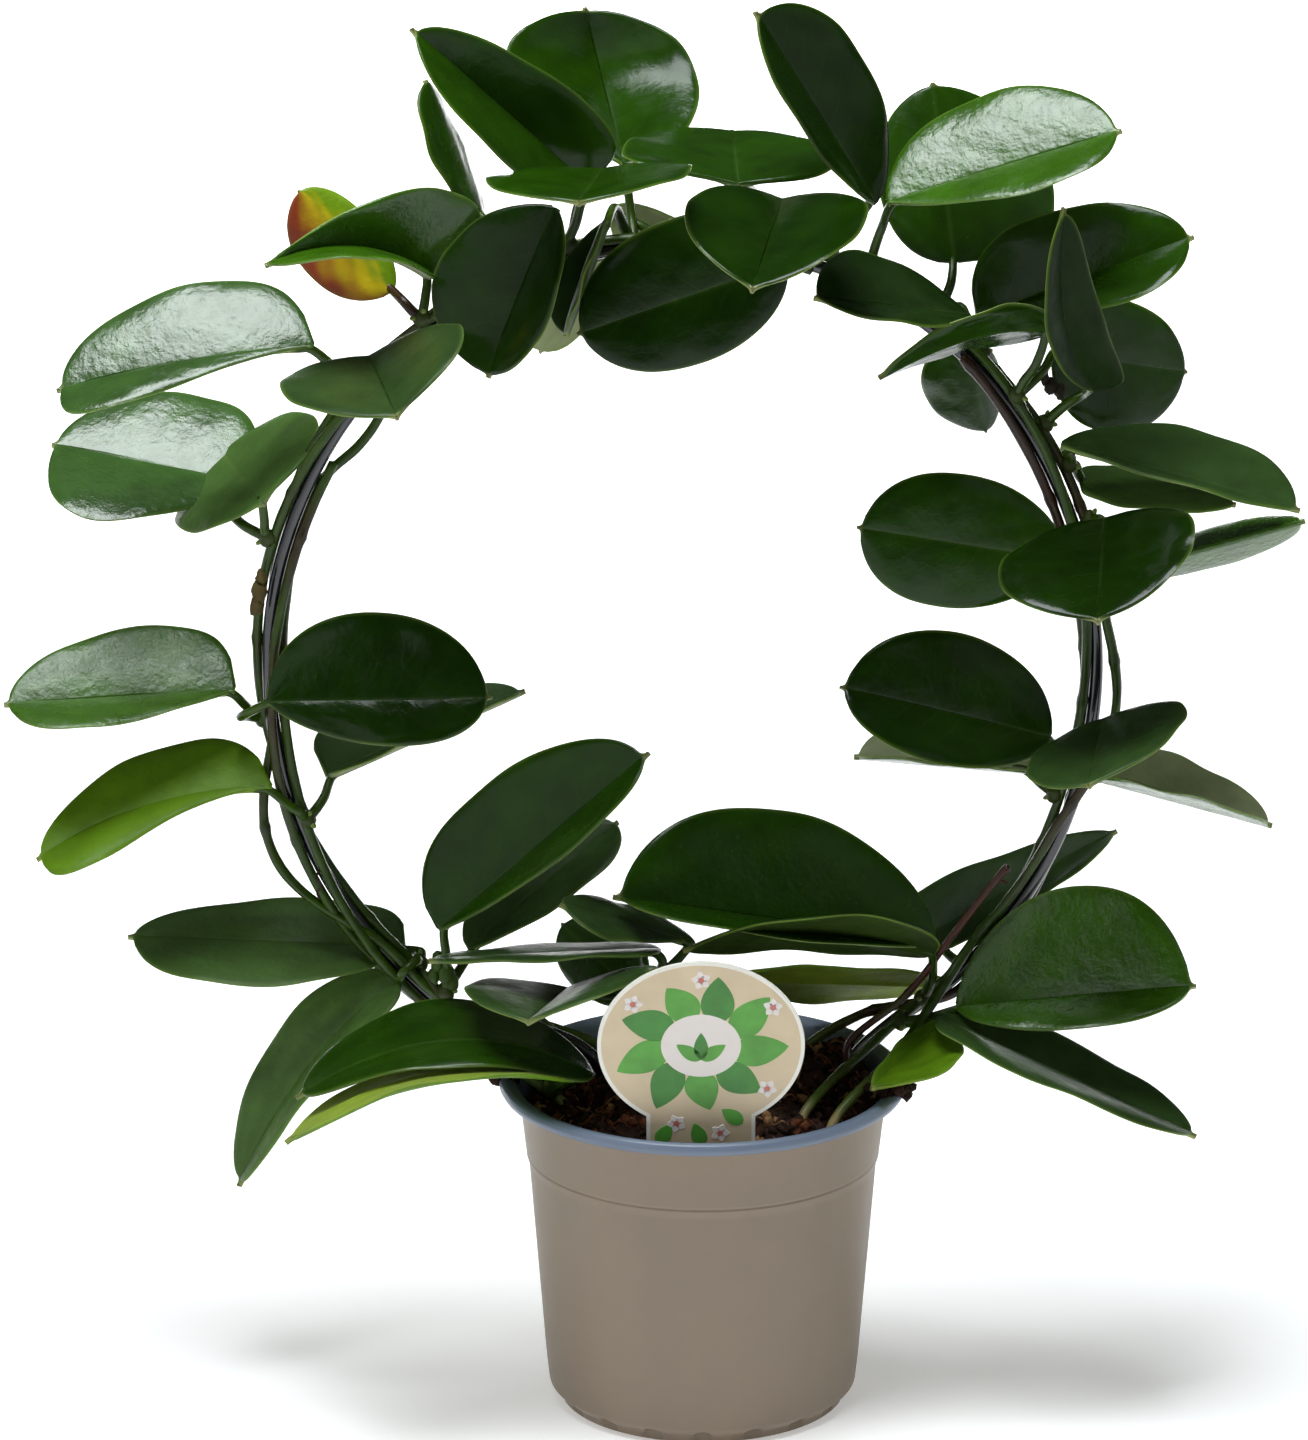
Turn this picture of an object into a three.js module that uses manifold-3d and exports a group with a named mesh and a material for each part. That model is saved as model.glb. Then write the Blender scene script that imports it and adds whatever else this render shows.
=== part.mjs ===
// Potted hoya trained on a round hoop: nursery pot, soil, hoop, twining vines, leaf pairs and a label.
// Millimetres, +Z up. The origin is the centre of the pot's flat foot, on the surface it stands on.
import * as THREE from 'three';
import { mergeVertices } from 'three/addons/utils/BufferGeometryUtils.js';
import Module from 'manifold-3d';

const wasm = await Module();
wasm.setup();

const TAU = Math.PI * 2;
const seat = 0.3;

// Driving dimensions of the pot
const pot = {
  height: 99,
  rimRadius: 59.5,
  rimBand: 3.6,
  rimInner: 54.2,
  shoulderTop: 53.6,
  grooveHeight: 76,
  grooveRadius: 51.4,
  waistRadius: 50.6,
  footRadius: 44.8,
  footHeight: 4.6,
  discRadius: 41.5,
  wall: 1.3,
  floor: 2,
  notches: 18,
  notchRadius: 3.2,
};

// Driving dimensions of the soil, hoop, vines and label
const soilSize = { top: 90, crown: 5, ripple: 1.3 };
const hoopSize = { x: -6, y: 16, z: 218, halfWidth: 119.5, halfHeight: 127, wire: 2 };
const vineSize = { radius: 1.5, clear: 0.4, twist: 2.6 };
const petioleRadius = 1.35;
const leafSize = { ribThickness: 1.7, edgeThickness: 0.9, crown: 0.07 };
const labelSize = {
  halfWidth: 29.7,
  halfHeight: 26.2,
  thickness: 0.9,
  neckHalf: 15.6,
  neckEnd: 30,
  stakeHalf: 7,
  stakeStart: 38,
  stakeTip: 46,
  lean: -0.08,
};

// The photograph's view, which turns a picture place and a depth into a place in the part's own frame
const view = {
  elevation: THREE.MathUtils.degToRad(18.3),
  distance: 3000,
  scale: 0.2877,
  centre: [654, 720],
  target: new THREE.Vector3(-14.2, 0, 207.3),
};
const viewForward = new THREE.Vector3(0, Math.cos(view.elevation), -Math.sin(view.elevation));
const viewUp = new THREE.Vector3(0, Math.sin(view.elevation), Math.cos(view.elevation));
const viewPoint = view.target.clone().addScaledVector(viewForward, -view.distance);

// A picture place in pixels, with its depth behind the hoop's plane in millimetres
function at(px, py, depth = 0) {
  const ray = viewForward.clone().multiplyScalar(view.distance);
  ray.x += (px - view.centre[0]) * view.scale;
  ray.addScaledVector(viewUp, (view.centre[1] - py) * view.scale);
  const reach = (hoopSize.y + depth - viewPoint.y) / ray.y;
  return viewPoint.clone().addScaledVector(ray, reach);
}

// Solids and meshes
function solidOf(geometry) {
  const bare = geometry.clone();
  bare.deleteAttribute('normal');
  bare.deleteAttribute('uv');
  const merged = mergeVertices(bare, 1e-4);
  return new wasm.Manifold(new wasm.Mesh({
    numProp: 3,
    vertProperties: new Float32Array(merged.attributes.position.array),
    triVerts: new Uint32Array(merged.index.array),
  }));
}

function geometryOf(solid) {
  const mesh = solid.getMesh();
  const geometry = new THREE.BufferGeometry();
  geometry.setAttribute('position', new THREE.BufferAttribute(new Float32Array(mesh.vertProperties), 3));
  geometry.setIndex(new THREE.BufferAttribute(new Uint32Array(mesh.triVerts), 1));
  geometry.computeVertexNormals();
  return geometry;
}

function joined(solids) {
  return solids.reduce((sum, next) => sum.add(next));
}

// A cut can leave a loose scrap; only the biggest body is kept, without slivers finer than fine
const fine = 0.06;

function biggest(solid) {
  const bodies = solid.decompose();
  const body = bodies.reduce((best, next) => (next.volume() > best.volume() ? next : best));
  return body.asOriginal().simplify(fine);
}

function material(color, roughness) {
  return new THREE.MeshStandardMaterial({ color, roughness, metalness: 0 });
}

const group = new THREE.Group();

function place(name, solid, look) {
  const mesh = new THREE.Mesh(geometryOf(solid), look);
  mesh.name = name;
  group.add(mesh);
}

function lathe(profile, segments) {
  const points = profile.map(([radius, height]) => new THREE.Vector2(radius, height));
  return solidOf(new THREE.LatheGeometry(points, segments).rotateX(Math.PI / 2));
}

function roundSection(radius, sides) {
  const section = new THREE.Shape();
  for (let i = 0; i < sides; i += 1) {
    const turn = (i * TAU) / sides;
    section[i === 0 ? 'moveTo' : 'lineTo'](radius * Math.cos(turn), radius * Math.sin(turn));
  }
  section.closePath();
  return section;
}

function tube(points, radius, sides, steps) {
  const extrudePath = new THREE.CatmullRomCurve3(points, false, 'centripetal');
  return solidOf(new THREE.ExtrudeGeometry(roundSection(radius, sides), { steps, extrudePath }));
}

// The pot: a turned shell with a rolled lip, cut by a ring of drain notches at its foot
function makePot() {
  const shell = lathe([
    [0, 0],
    [pot.discRadius, 0],
    [pot.discRadius + 0.8, pot.footHeight * 0.6],
    [pot.footRadius, pot.footHeight],
    [pot.footRadius + 0.9, pot.footHeight + 8],
    [pot.waistRadius, pot.grooveHeight - 3],
    [pot.grooveRadius, pot.grooveHeight],
    [pot.shoulderTop, pot.height - pot.rimBand - 1],
    [pot.rimRadius - 0.8, pot.height - pot.rimBand],
    [pot.rimRadius, pot.height - pot.rimBand * 0.6],
    [pot.rimRadius - 0.6, pot.height - 0.6],
    [pot.rimRadius - 1.8, pot.height],
    [pot.rimInner, pot.height - 1.2],
    [pot.shoulderTop - pot.wall, pot.height - pot.rimBand - 2],
    [pot.grooveRadius - pot.wall, pot.grooveHeight],
    [pot.footRadius - pot.wall, pot.footHeight + 4],
    [pot.discRadius - pot.wall - 2, pot.floor],
    [0, pot.floor],
  ], 36);
  const notch = new THREE.CylinderGeometry(pot.notchRadius, pot.notchRadius, pot.footHeight * 1.9, 6);
  notch.rotateX(Math.PI / 2);
  let cut = shell;
  for (let i = 0; i < pot.notches; i += 1) {
    const turn = ((i + 0.5) * TAU) / pot.notches;
    const [x, y] = [Math.cos(turn) * pot.footRadius, Math.sin(turn) * pot.footRadius];
    cut = cut.subtract(solidOf(notch.clone().translate(x, y, 0)));
  }
  return cut;
}

// The soil: it fills the pot 0.3 mm clear of the wall, with a low uneven crown
function soilHeight(radius, turn) {
  const rise = soilSize.crown * (1 - (radius / pot.rimInner) ** 2);
  const lumps = Math.sin(turn * 5 + radius * 0.16) + 0.7 * Math.cos(turn * 9 - radius * 0.11);
  return soilSize.top + rise + soilSize.ripple * lumps * Math.min(1, radius / 20);
}

function makeSoil() {
  const segments = 30;
  const rings = [14, 30, pot.shoulderTop - pot.wall - seat - 0.6];
  const walls = [
    [pot.grooveRadius - pot.wall - seat, pot.grooveHeight],
    [pot.footRadius - pot.wall - seat, pot.footHeight + 4],
    [pot.discRadius - pot.wall - 2.4, pot.floor + seat],
  ];
  const profile = [[0, soilSize.top + soilSize.crown], ...rings.map((r) => [r, soilSize.top]), ...walls];
  profile.push([0, pot.floor + seat]);
  const points = profile.reverse().map(([radius, height]) => new THREE.Vector2(radius, height));
  const geometry = new THREE.LatheGeometry(points, segments).rotateX(Math.PI / 2);
  const position = geometry.attributes.position;
  for (let i = 0; i < position.count; i += 1) {
    const radius = Math.hypot(position.getX(i), position.getY(i));
    if (radius > 1 && position.getZ(i) > soilSize.top - 1) {
      const turn = Math.atan2(position.getY(i), position.getX(i));
      position.setZ(i, soilHeight(radius, turn));
    }
  }
  return solidOf(geometry);
}

// The hoop: almost a full ellipse in an upright plane, its two ends bent down into the soil
function hoopPoint(angle, out = 0, back = 0) {
  return new THREE.Vector3(
    hoopSize.x + (hoopSize.halfWidth + out) * Math.cos(angle),
    hoopSize.y + back,
    hoopSize.z + (hoopSize.halfHeight + out) * Math.sin(angle),
  );
}

const degrees = THREE.MathUtils.degToRad;
const hoopArc = { right: degrees(-59), left: degrees(235), steps: 40 };
const hoopFeet = {
  right: [[39, 13, 50], [40.5, 14, 88], [44, 15, 98]],
  left: [[-50, 16, 107.5], [-35, 14, 101.5], [-29, 13, 94], [-27, 12, 50]],
};

function hoopRoute() {
  const route = hoopFeet.right.map((spot) => new THREE.Vector3(...spot));
  for (let i = 0; i <= hoopArc.steps; i += 1) {
    route.push(hoopPoint(hoopArc.right + ((hoopArc.left - hoopArc.right) * i) / hoopArc.steps));
  }
  route.push(...hoopFeet.left.map((spot) => new THREE.Vector3(...spot)));
  return route;
}

// The vines: each leaves the soil, then winds round the hoop in its own strand of one loose lay.
// Strand s keeps its phase all the way, so that strands never meet.
const strands = 5;
const layRadius = hoopSize.wire + vineSize.radius + vineSize.clear;

// foot: where it leaves the soil, over: where it passes the pot's rim
const vines = {
  vine_left_bowed: { strand: 0, from: 231, to: 118, foot: [-36, 2, 90], over: [-58, 8, 107],
    bow: { from: 183, to: 226, out: 15 } },
  vine_left_long: { strand: 1, from: 236, to: 72, foot: [-34, 22, 90], over: [-55, 21, 112],
    bow: { from: 128, to: 158, out: -9 } },
  vine_left_back: { strand: 2, from: 232, to: 150, foot: [-22, 30, 90], over: [-48, 29, 104] },
  vine_left_thin: { strand: 4, from: 226, to: 126, foot: [-38, -10, 90], over: [-58, -2, 104] },
  vine_right_green: { strand: 3, from: -47, to: 104, foot: [28, -22, 92], over: [48, 0, 107] },
  vine_right_grey: { strand: 4, from: -42, to: 80, foot: [37, -24, 91], over: [58, -4, 109],
    bow: { from: -25, to: 12, out: 6 } },
  vine_right_back: { strand: 2, from: -50, to: 48, foot: [27, 28, 92], over: [46, 25, 108] },
};

function strandPoint(vine, turn) {
  const angle = degrees(turn);
  const phase = (vine.strand * TAU) / strands + vineSize.twist * angle;
  let out = layRadius * Math.cos(phase);
  if (vine.bow && turn > vine.bow.from && turn < vine.bow.to) {
    out += vine.bow.out * Math.sin((Math.PI * (turn - vine.bow.from)) / (vine.bow.to - vine.bow.from)) ** 2;
  }
  return hoopPoint(angle, out, layRadius * Math.sin(phase));
}

function vineRoute(vine) {
  const ground = new THREE.Vector3(...vine.foot);
  const route = [ground.clone().setZ(ground.z - 24), ground, new THREE.Vector3(...vine.over)];
  const count = Math.ceil(Math.abs(vine.to - vine.from) / 5);
  for (let i = 0; i <= count; i += 1) {
    route.push(strandPoint(vine, vine.from + ((vine.to - vine.from) * i) / count));
  }
  return route;
}

const middleStem = [at(690, 1072, -34), at(688, 1040, -30), at(664, 1000, -22), at(650, 972, -14)];
const deadStem = [
  at(846, 1062, -13),
  at(849, 1043, -12),
  at(907, 994, -13),
  at(952, 936, -12),
  at(998, 878, -12),
  at(1008, 867, -12),
];

const routes = {};
for (const [name, vine] of Object.entries(vines)) {
  routes[name] = vineRoute(vine);
}
routes.stem_middle = middleStem;
routes.stem_middle.unshift(middleStem[0].clone().setZ(middleStem[0].z - 24));
routes.stem_dead = deadStem;
routes.stem_dead.unshift(deadStem[0].clone().setZ(deadStem[0].z - 22));

// The leaves. base, tip: the ends of the midrib. left, right: the widest points of the two margins.
// mid: where the midrib bows to.
const sprays = {
  leaves_low_front: { node: at(578, 1050, -24), leaves: [
    { base: at(594, 1076, -42), tip: at(296, 1098, -48),
      left: at(450, 998, -26), right: at(452, 1065, -62), mid: at(450, 1042, -50) },
    { base: at(574, 1080, -44), tip: at(286, 1143, -56),
      left: at(414, 1064, -42), right: at(424, 1086, -76), mid: at(420, 1079, -58) },
  ] },
  leaves_low_left: { node: at(412, 968, 0), leaves: [
    { base: at(404, 948, 8), tip: at(128, 937, 10), left: at(236, 984, -14), right: at(320, 898, 28) },
    { base: at(402, 980, -2), tip: at(239, 1186, -4),
      left: at(334, 1068, -18), right: at(291, 1013, 8), mid: at(312, 1064, -3) },
  ] },
  leaves_ring_inner_left: { node: at(462, 980, -3), leaves: [
    { base: at(440, 930, -8), tip: at(649, 753, -14), left: at(478, 790, 0), right: at(580, 842, -26) },
    { base: at(470, 950, 4), tip: at(618, 822, 26), left: at(510, 858, 22), right: at(592, 879, 0) },
  ] },
  leaves_heart_low: { node: at(645, 1006, -22), leaves: [
    { base: at(568, 990, -16), tip: at(528, 1023, -66), left: at(655, 968, -44), right: at(466, 984, -38) },
    { base: at(640, 1000, 4), tip: at(562, 924, 32), left: at(572, 985, 18), right: at(630, 930, 24) },
  ] },
  leaves_middle: { node: at(655, 982, -16), leaves: [
    { base: at(660, 951, -18), tip: at(429, 961, -26), left: at(556, 959, -42), right: at(560, 944, -2) },
    { base: at(694, 944, -14), tip: at(560, 905, -30), left: at(604, 936, -38), right: at(622, 902, -8) },
  ] },
  leaves_left_low: { node: at(305, 816, 0), leaves: [
    { base: at(272, 788, -6), tip: at(37, 860, -20),
      left: at(84, 868, -30), right: at(185, 741, 8), mid: at(150, 806, -10) },
    { base: at(328, 776, 6), tip: at(525, 691, 24), left: at(432, 731, 0), right: at(352, 712, 30) },
  ] },
  leaves_left_middle: { node: at(262, 724, 0), leaves: [
    { base: at(235, 691, -2), tip: at(4, 705, -8), left: at(75, 728, -24), right: at(150, 625, 12) },
    { base: at(268, 702, -14), tip: at(492, 698, -18), left: at(372, 612, -8), right: at(405, 746, -24) },
  ] },
  leaves_left_high: { node: at(276, 540, 0), leaves: [
    { base: at(248, 484, 34), tip: at(52, 445, 46), left: at(85, 516, 10), right: at(202, 395, 62) },
    { base: at(262, 503, -6), tip: at(224, 452, 46), left: at(176, 524, 20), right: at(315, 417, 18) },
  ] },
  leaves_left_shoulder: { node: at(352, 388, -2), leaves: [
    { base: at(314, 347, -2), tip: at(57, 391, -8),
      left: at(95, 411, -22), right: at(206, 281, 14), mid: at(190, 361, -6) },
    { base: at(370, 358, -8), tip: at(397, 418, -62), left: at(463, 328, -38), right: at(281, 390, -36) },
  ] },
  leaves_yellow: { node: at(424, 318, 0), leaves: [
    { base: at(392, 290, 8), tip: at(298, 190, 12), left: at(308, 274, 8), right: at(364, 214, 14) },
    { base: at(431, 277, 0), tip: at(265, 266, -14),
      left: at(378, 258, -26), right: at(458, 192, -4), mid: at(352, 248, -6) },
  ] },
  leaves_top_left: { node: at(508, 236, 0), leaves: [
    { base: at(480, 215, 8), tip: at(425, 80, 16), left: at(430, 150, 2), right: at(466, 152, 24) },
    { base: at(556, 208, -10), tip: at(488, 378, -26), left: at(548, 318, -38), right: at(436, 268, -8) },
  ] },
  leaves_top_dark: { node: at(567, 243, -2), leaves: [
    { base: at(588, 186, -6), tip: at(411, 29, -22), left: at(501, 158, -36), right: at(588, 103, -8) },
    { base: at(603, 171, -14), tip: at(579, 204, -78), left: at(691, 169, -50), right: at(486, 178, -48) },
  ] },
  leaves_top_broad: { node: at(632, 240, 3), leaves: [
    { base: at(625, 166, 18), tip: at(585, 8, 66),
      left: at(507, 60, 44), right: at(697, 72, 52), mid: at(604, 90, 56) },
    { base: at(606, 221, -12), tip: at(566, 336, -14), left: at(582, 280, -30), right: at(550, 284, -6) },
  ] },
  leaves_under: { node: at(672, 238, 4), leaves: [
    { base: at(596, 238, 18), tip: at(540, 353, 26), left: at(500, 290, 20), right: at(596, 312, 24) },
    { base: at(612, 212, 20), tip: at(724, 262, 34), left: at(655, 285, 26), right: at(668, 214, 28) },
  ] },
  leaves_top_middle: { node: at(762, 232, 0), leaves: [
    { base: at(786, 262, -12), tip: at(577, 334, -18), left: at(700, 364, -18), right: at(664, 221, -12) },
    { base: at(738, 186, -12), tip: at(732, 132, 36), left: at(622, 150, -2), right: at(838, 158, 4) },
  ] },
  leaves_top_heart: { node: at(836, 232, 0), leaves: [
    { base: at(782, 201, -12), tip: at(752, 291, -68), left: at(867, 217, -42), right: at(686, 206, -40) },
    { base: at(874, 204, 0), tip: at(755, 12, -14), left: at(792, 112, -24), right: at(861, 52, 6) },
  ] },
  leaf_top_glossy: { node: at(884, 240, 0), leaves: [
    { base: at(888, 203, -6), tip: at(1122, 131, -8), left: at(990, 92, 12), right: at(1049, 185, -26) },
  ] },
  leaves_top_right: { node: at(950, 300, 0), leaves: [
    { base: at(954, 262, 10), tip: at(932, 83, 34), left: at(878, 182, 22), right: at(1054, 190, 28) },
    { base: at(970, 317, -16), tip: at(814, 298, -28), left: at(900, 322, -40), right: at(860, 250, -8) },
  ] },
  leaves_right_shoulder: { node: at(982, 352, 1), leaves: [
    { base: at(978, 318, 2), tip: at(1194, 237, -4),
      left: at(1035, 216, 6), right: at(1140, 296, -22), mid: at(1080, 280, -4) },
    { base: at(968, 346, 14), tip: at(986, 431, 40), left: at(1000, 372, 26), right: at(922, 388, 26) },
  ] },
  leaves_right_folded: { node: at(1022, 390, -1), leaves: [
    { base: at(1050, 330, -10), tip: at(879, 378, -34),
      left: at(1012, 306, -23), right: at(975, 350, -12), mid: at(972, 337, -24) },
    { base: at(1052, 352, 10), tip: at(1186, 372, 38), left: at(1120, 299, 26), right: at(1110, 433, 18) },
  ] },
  leaf_right_curled: { node: at(1046, 424, -1), leaves: [
    { base: at(1092, 389, -22), tip: at(1064, 208, -58),
      left: at(1046, 318, -54), right: at(1116, 350, -32), mid: at(1062, 312, -44) },
  ] },
  leaves_right_high: { node: at(1064, 466, 0), leaves: [
    { base: at(1061, 445, -4), tip: at(1300, 511, -12),
      left: at(1215, 433, 16), right: at(1190, 486, -18) },
    { base: at(1080, 480, 6), tip: at(1236, 505, 6), left: at(1130, 467, 24), right: at(1120, 504, -6) },
  ] },
  leaf_right_heart: { node: at(1078, 522, -2), leaves: [
    { base: at(1105, 520, -10), tip: at(1098, 623, -54),
      left: at(1195, 532, -34), right: at(998, 574, -34) },
  ] },
  leaves_right_broad: { node: at(1084, 578, 0), leaves: [
    { base: at(1065, 560, -8), tip: at(857, 527, -14), left: at(932, 606, -14), right: at(965, 474, -8) },
    { base: at(1110, 574, 8), tip: at(1305, 521, 4), left: at(1210, 528, 24), right: at(1222, 565, 18) },
  ] },
  leaves_right_inner: { node: at(1074, 762, 0), leaves: [
    { base: at(1050, 737, -8), tip: at(840, 687, -16), left: at(933, 762, -26), right: at(961, 633, -6) },
    { base: at(1103, 721, -8), tip: at(1089, 787, -60),
      left: at(1186, 714, -34), right: at(1026, 768, -34) },
  ] },
  leaves_right_outer: { node: at(1062, 798, 0), leaves: [
    { base: at(1030, 772, 6), tip: at(854, 757, 12), left: at(940, 764, -6), right: at(955, 722, 24) },
    { base: at(1096, 779, 4), tip: at(1272, 826, 0), left: at(1155, 750, 14), right: at(1182, 796, -18) },
  ] },
  leaves_low_right: { node: at(922, 1002, -2), leaves: [
    { base: at(935, 945, -12), tip: at(613, 897, -24), left: at(745, 932, -44), right: at(774, 808, -6) },
    { base: at(935, 953, -14), tip: at(683, 951, -34),
      left: at(844, 914, -50), right: at(811, 950, -16), mid: at(811, 937, -26) },
  ] },
  leaves_right_back: { node: at(962, 962, 4), leaves: [
    { base: at(948, 983, 9), tip: at(725, 978, 8), left: at(836, 966, -2), right: at(806, 1001, 28) },
    { base: at(928, 936, 16), tip: at(1117, 831, 26), left: at(922, 888, 32), right: at(985, 931, 8) },
  ] },
  leaves_right_low: { node: at(894, 1024, -6), leaves: [
    { base: at(957, 1008, -10), tip: at(1196, 986, -18),
      left: at(1080, 885, -6), right: at(1085, 1028, -30) },
    { base: at(938, 1018, -14), tip: at(1196, 1137, -30),
      left: at(1072, 1040, -4), right: at(1010, 1068, -54) },
    { base: at(944, 1024, -16), tip: at(871, 1089, -44),
      left: at(900, 1040, -28), right: at(955, 1063, -52) },
  ] },
};

// Half-width along the blade, 1 where it is widest: round at the base, a small spur at the tip
const blade = { spur: 0.965, spurSlope: 2.4, least: 0.05, fullness: 2.1, widestFrom: 0.25, widestTo: 0.8 };

function bladeWidth(along, widest) {
  const skew = Math.log(0.5) / Math.log(widest);
  const run = Math.min(1, along / blade.spur) ** skew;
  const oval = Math.sqrt(Math.max(0, 1 - Math.abs(2 * run - 1) ** blade.fullness));
  const spur = Math.min(0.1, (1 - along) * blade.spurSlope);
  return Math.max(oval, spur, blade.least * (1 - along) + 0.02 * along);
}

function ribPoint(leaf, along) {
  const straight = leaf.base.clone().lerp(leaf.tip, 0.5);
  const control = leaf.mid ? leaf.mid.clone().multiplyScalar(2).sub(straight) : straight;
  return leaf.base.clone().multiplyScalar((1 - along) ** 2)
    .addScaledVector(control, 2 * along * (1 - along))
    .addScaledVector(leaf.tip, along ** 2);
}

function upperSide(leaf) {
  const across = leaf.right.clone().sub(leaf.left);
  const along = leaf.tip.clone().sub(leaf.base);
  return across.cross(along).normalize();
}

// How far from the base a side is widest
function widestAlong(leaf, margin) {
  const length = leaf.tip.clone().sub(leaf.base);
  const along = margin.clone().sub(leaf.base).dot(length) / length.lengthSq();
  return THREE.MathUtils.clamp(along, blade.widestFrom, blade.widestTo);
}

// A point of the blade's middle surface: along from 0 to 1, across from -1 (left margin) to 1 (right)
function bladePoint(leaf, along, across) {
  const margin = across < 0 ? leaf.left : leaf.right;
  const widest = widestAlong(leaf, margin);
  const side = margin.clone().sub(ribPoint(leaf, widest));
  const width = bladeWidth(along, widest);
  const reach = Math.abs(across);
  const crown = leafSize.crown * side.length() * 4 * reach * (1 - reach) * width;
  return ribPoint(leaf, along).addScaledVector(side, reach * width).addScaledVector(upperSide(leaf), crown);
}

const bladeRows = [0, 0.08, 0.32, 0.62, 0.9, 1];
const bladeColumns = [-1, -0.5, 0, 0.5, 1];

function makeBlade(leaf) {
  const rows = bladeRows.length;
  const columns = bladeColumns.length;
  const places = [];
  for (const side of [0.5, -0.5]) {
    for (const along of bladeRows) {
      for (const across of bladeColumns) {
        const inner = THREE.MathUtils.clamp(along, 0.06, 0.94);
        const low = bladePoint(leaf, inner - 0.02, across);
        const high = bladePoint(leaf, inner + 0.02, across);
        const lean = across === 0
          ? leaf.right.clone().sub(leaf.left)
          : bladePoint(leaf, 0.5, across).sub(bladePoint(leaf, 0.5, across - Math.sign(across) * 0.2))
            .multiplyScalar(Math.sign(across));
        const normal = lean.cross(high.sub(low)).normalize();
        const taper = leafSize.edgeThickness - leafSize.ribThickness;
        const thick = leafSize.ribThickness + taper * across ** 2;
        const place3 = bladePoint(leaf, along, across).addScaledVector(normal, side * thick);
        places.push(place3.x, place3.y, place3.z);
      }
    }
  }
  const under = rows * columns;
  const faces = [];
  const cell = (r, c) => r * columns + c;
  for (let r = 0; r < rows - 1; r += 1) {
    for (let c = 0; c < columns - 1; c += 1) {
      const [a, b, d, e] = [cell(r, c), cell(r, c + 1), cell(r + 1, c + 1), cell(r + 1, c)];
      faces.push(a, b, d, a, d, e);
      faces.push(under + a, under + d, under + b, under + a, under + e, under + d);
    }
    const [l0, l1] = [cell(r, 0), cell(r + 1, 0)];
    const [r0, r1] = [cell(r, columns - 1), cell(r + 1, columns - 1)];
    faces.push(l0, l1, under + l1, l0, under + l1, under + l0);
    faces.push(r0, under + r1, r1, r0, under + r0, under + r1);
  }
  for (let c = 0; c < columns - 1; c += 1) {
    const [b0, b1] = [cell(0, c), cell(0, c + 1)];
    const [t0, t1] = [cell(rows - 1, c), cell(rows - 1, c + 1)];
    faces.push(b0, under + b1, b1, b0, under + b0, under + b1);
    faces.push(t0, t1, under + t1, t0, under + t1, under + t0);
  }
  const geometry = new THREE.BufferGeometry();
  geometry.setAttribute('position', new THREE.BufferAttribute(new Float32Array(places), 3));
  geometry.setIndex(faces);
  return solidOf(geometry);
}

// The nearest place on any vine or stem, where a leaf pair grows
function nearestVine(point) {
  let best = { gap: Infinity };
  for (const [name, route] of Object.entries(routes)) {
    if (name !== 'stem_dead') {
      const curve = new THREE.CatmullRomCurve3(route, false, 'centripetal');
      for (let i = 0; i <= 400; i += 1) {
        const spot = curve.getPoint(i / 400);
        const gap = spot.distanceTo(point);
        if (gap < best.gap) {
          best = { gap, spot, tangent: curve.getTangent(i / 400), name };
        }
      }
    }
  }
  return best;
}

// Petioles leave a small swelling on the outer side of their vine and pass round the other strands
const swelling = { radius: 2.5, out: 1.6 };
const clearRadius = layRadius + vineSize.radius + petioleRadius + 0.6;

function growthPoint(spray) {
  const node = nearestVine(spray.node);
  const curve = new THREE.CatmullRomCurve3(hoopRoute(), false, 'centripetal');
  let reach = Infinity;
  for (let i = 0; i <= 600; i += 1) {
    const spot = curve.getPoint(i / 600);
    if (spot.distanceTo(node.spot) < reach) {
      reach = spot.distanceTo(node.spot);
      node.core = spot;
    }
  }
  const bases = spray.leaves.reduce((sum, leaf) => sum.add(leaf.base), new THREE.Vector3());
  bases.multiplyScalar(1 / spray.leaves.length);
  if (reach > layRadius + 2) {
    node.core = null;
    node.escape = bases.sub(node.spot);
  } else {
    node.escape = node.spot.clone().sub(node.core);
  }
  node.escape.addScaledVector(node.tangent, -node.escape.dot(node.tangent)).normalize();
  node.bud = node.spot.clone().addScaledVector(node.escape, swelling.out);
  return node;
}

function makePetiole(node, leaf) {
  const inward = ribPoint(leaf, 0.1).sub(leaf.base).normalize();
  const route = [node.bud.clone()];
  if (node.core) {
    const offset = leaf.base.clone().sub(node.core);
    const along = offset.dot(node.tangent);
    const across = offset.clone().addScaledVector(node.tangent, -along);
    const side = new THREE.Vector3().crossVectors(node.tangent, node.escape);
    const turn = Math.atan2(across.dot(side), across.dot(node.escape));
    const reach = across.length();
    for (const part of [0.3, 0.6]) {
      const radius = Math.max(clearRadius, layRadius + (reach - layRadius) * part);
      route.push(node.core.clone()
        .addScaledVector(node.escape, Math.cos(turn * part) * radius)
        .addScaledVector(side, Math.sin(turn * part) * radius)
        .addScaledVector(node.tangent, along * part * 0.8));
    }
  } else {
    route.push(node.bud.clone().lerp(leaf.base, 0.5).addScaledVector(node.escape, 1.5));
  }
  route.push(leaf.base.clone().addScaledVector(inward, 1.6));
  return tube(route, petioleRadius, 4, 3);
}

function makeSwelling(node) {
  const bead = new THREE.IcosahedronGeometry(swelling.radius, 0);
  return solidOf(bead.translate(node.bud.x, node.bud.y, node.bud.z));
}

// The label: an oval head on a short neck and a pointed stake, leaning forward a little in the soil
const labelCentre = at(701, 1045, -62);

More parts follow.
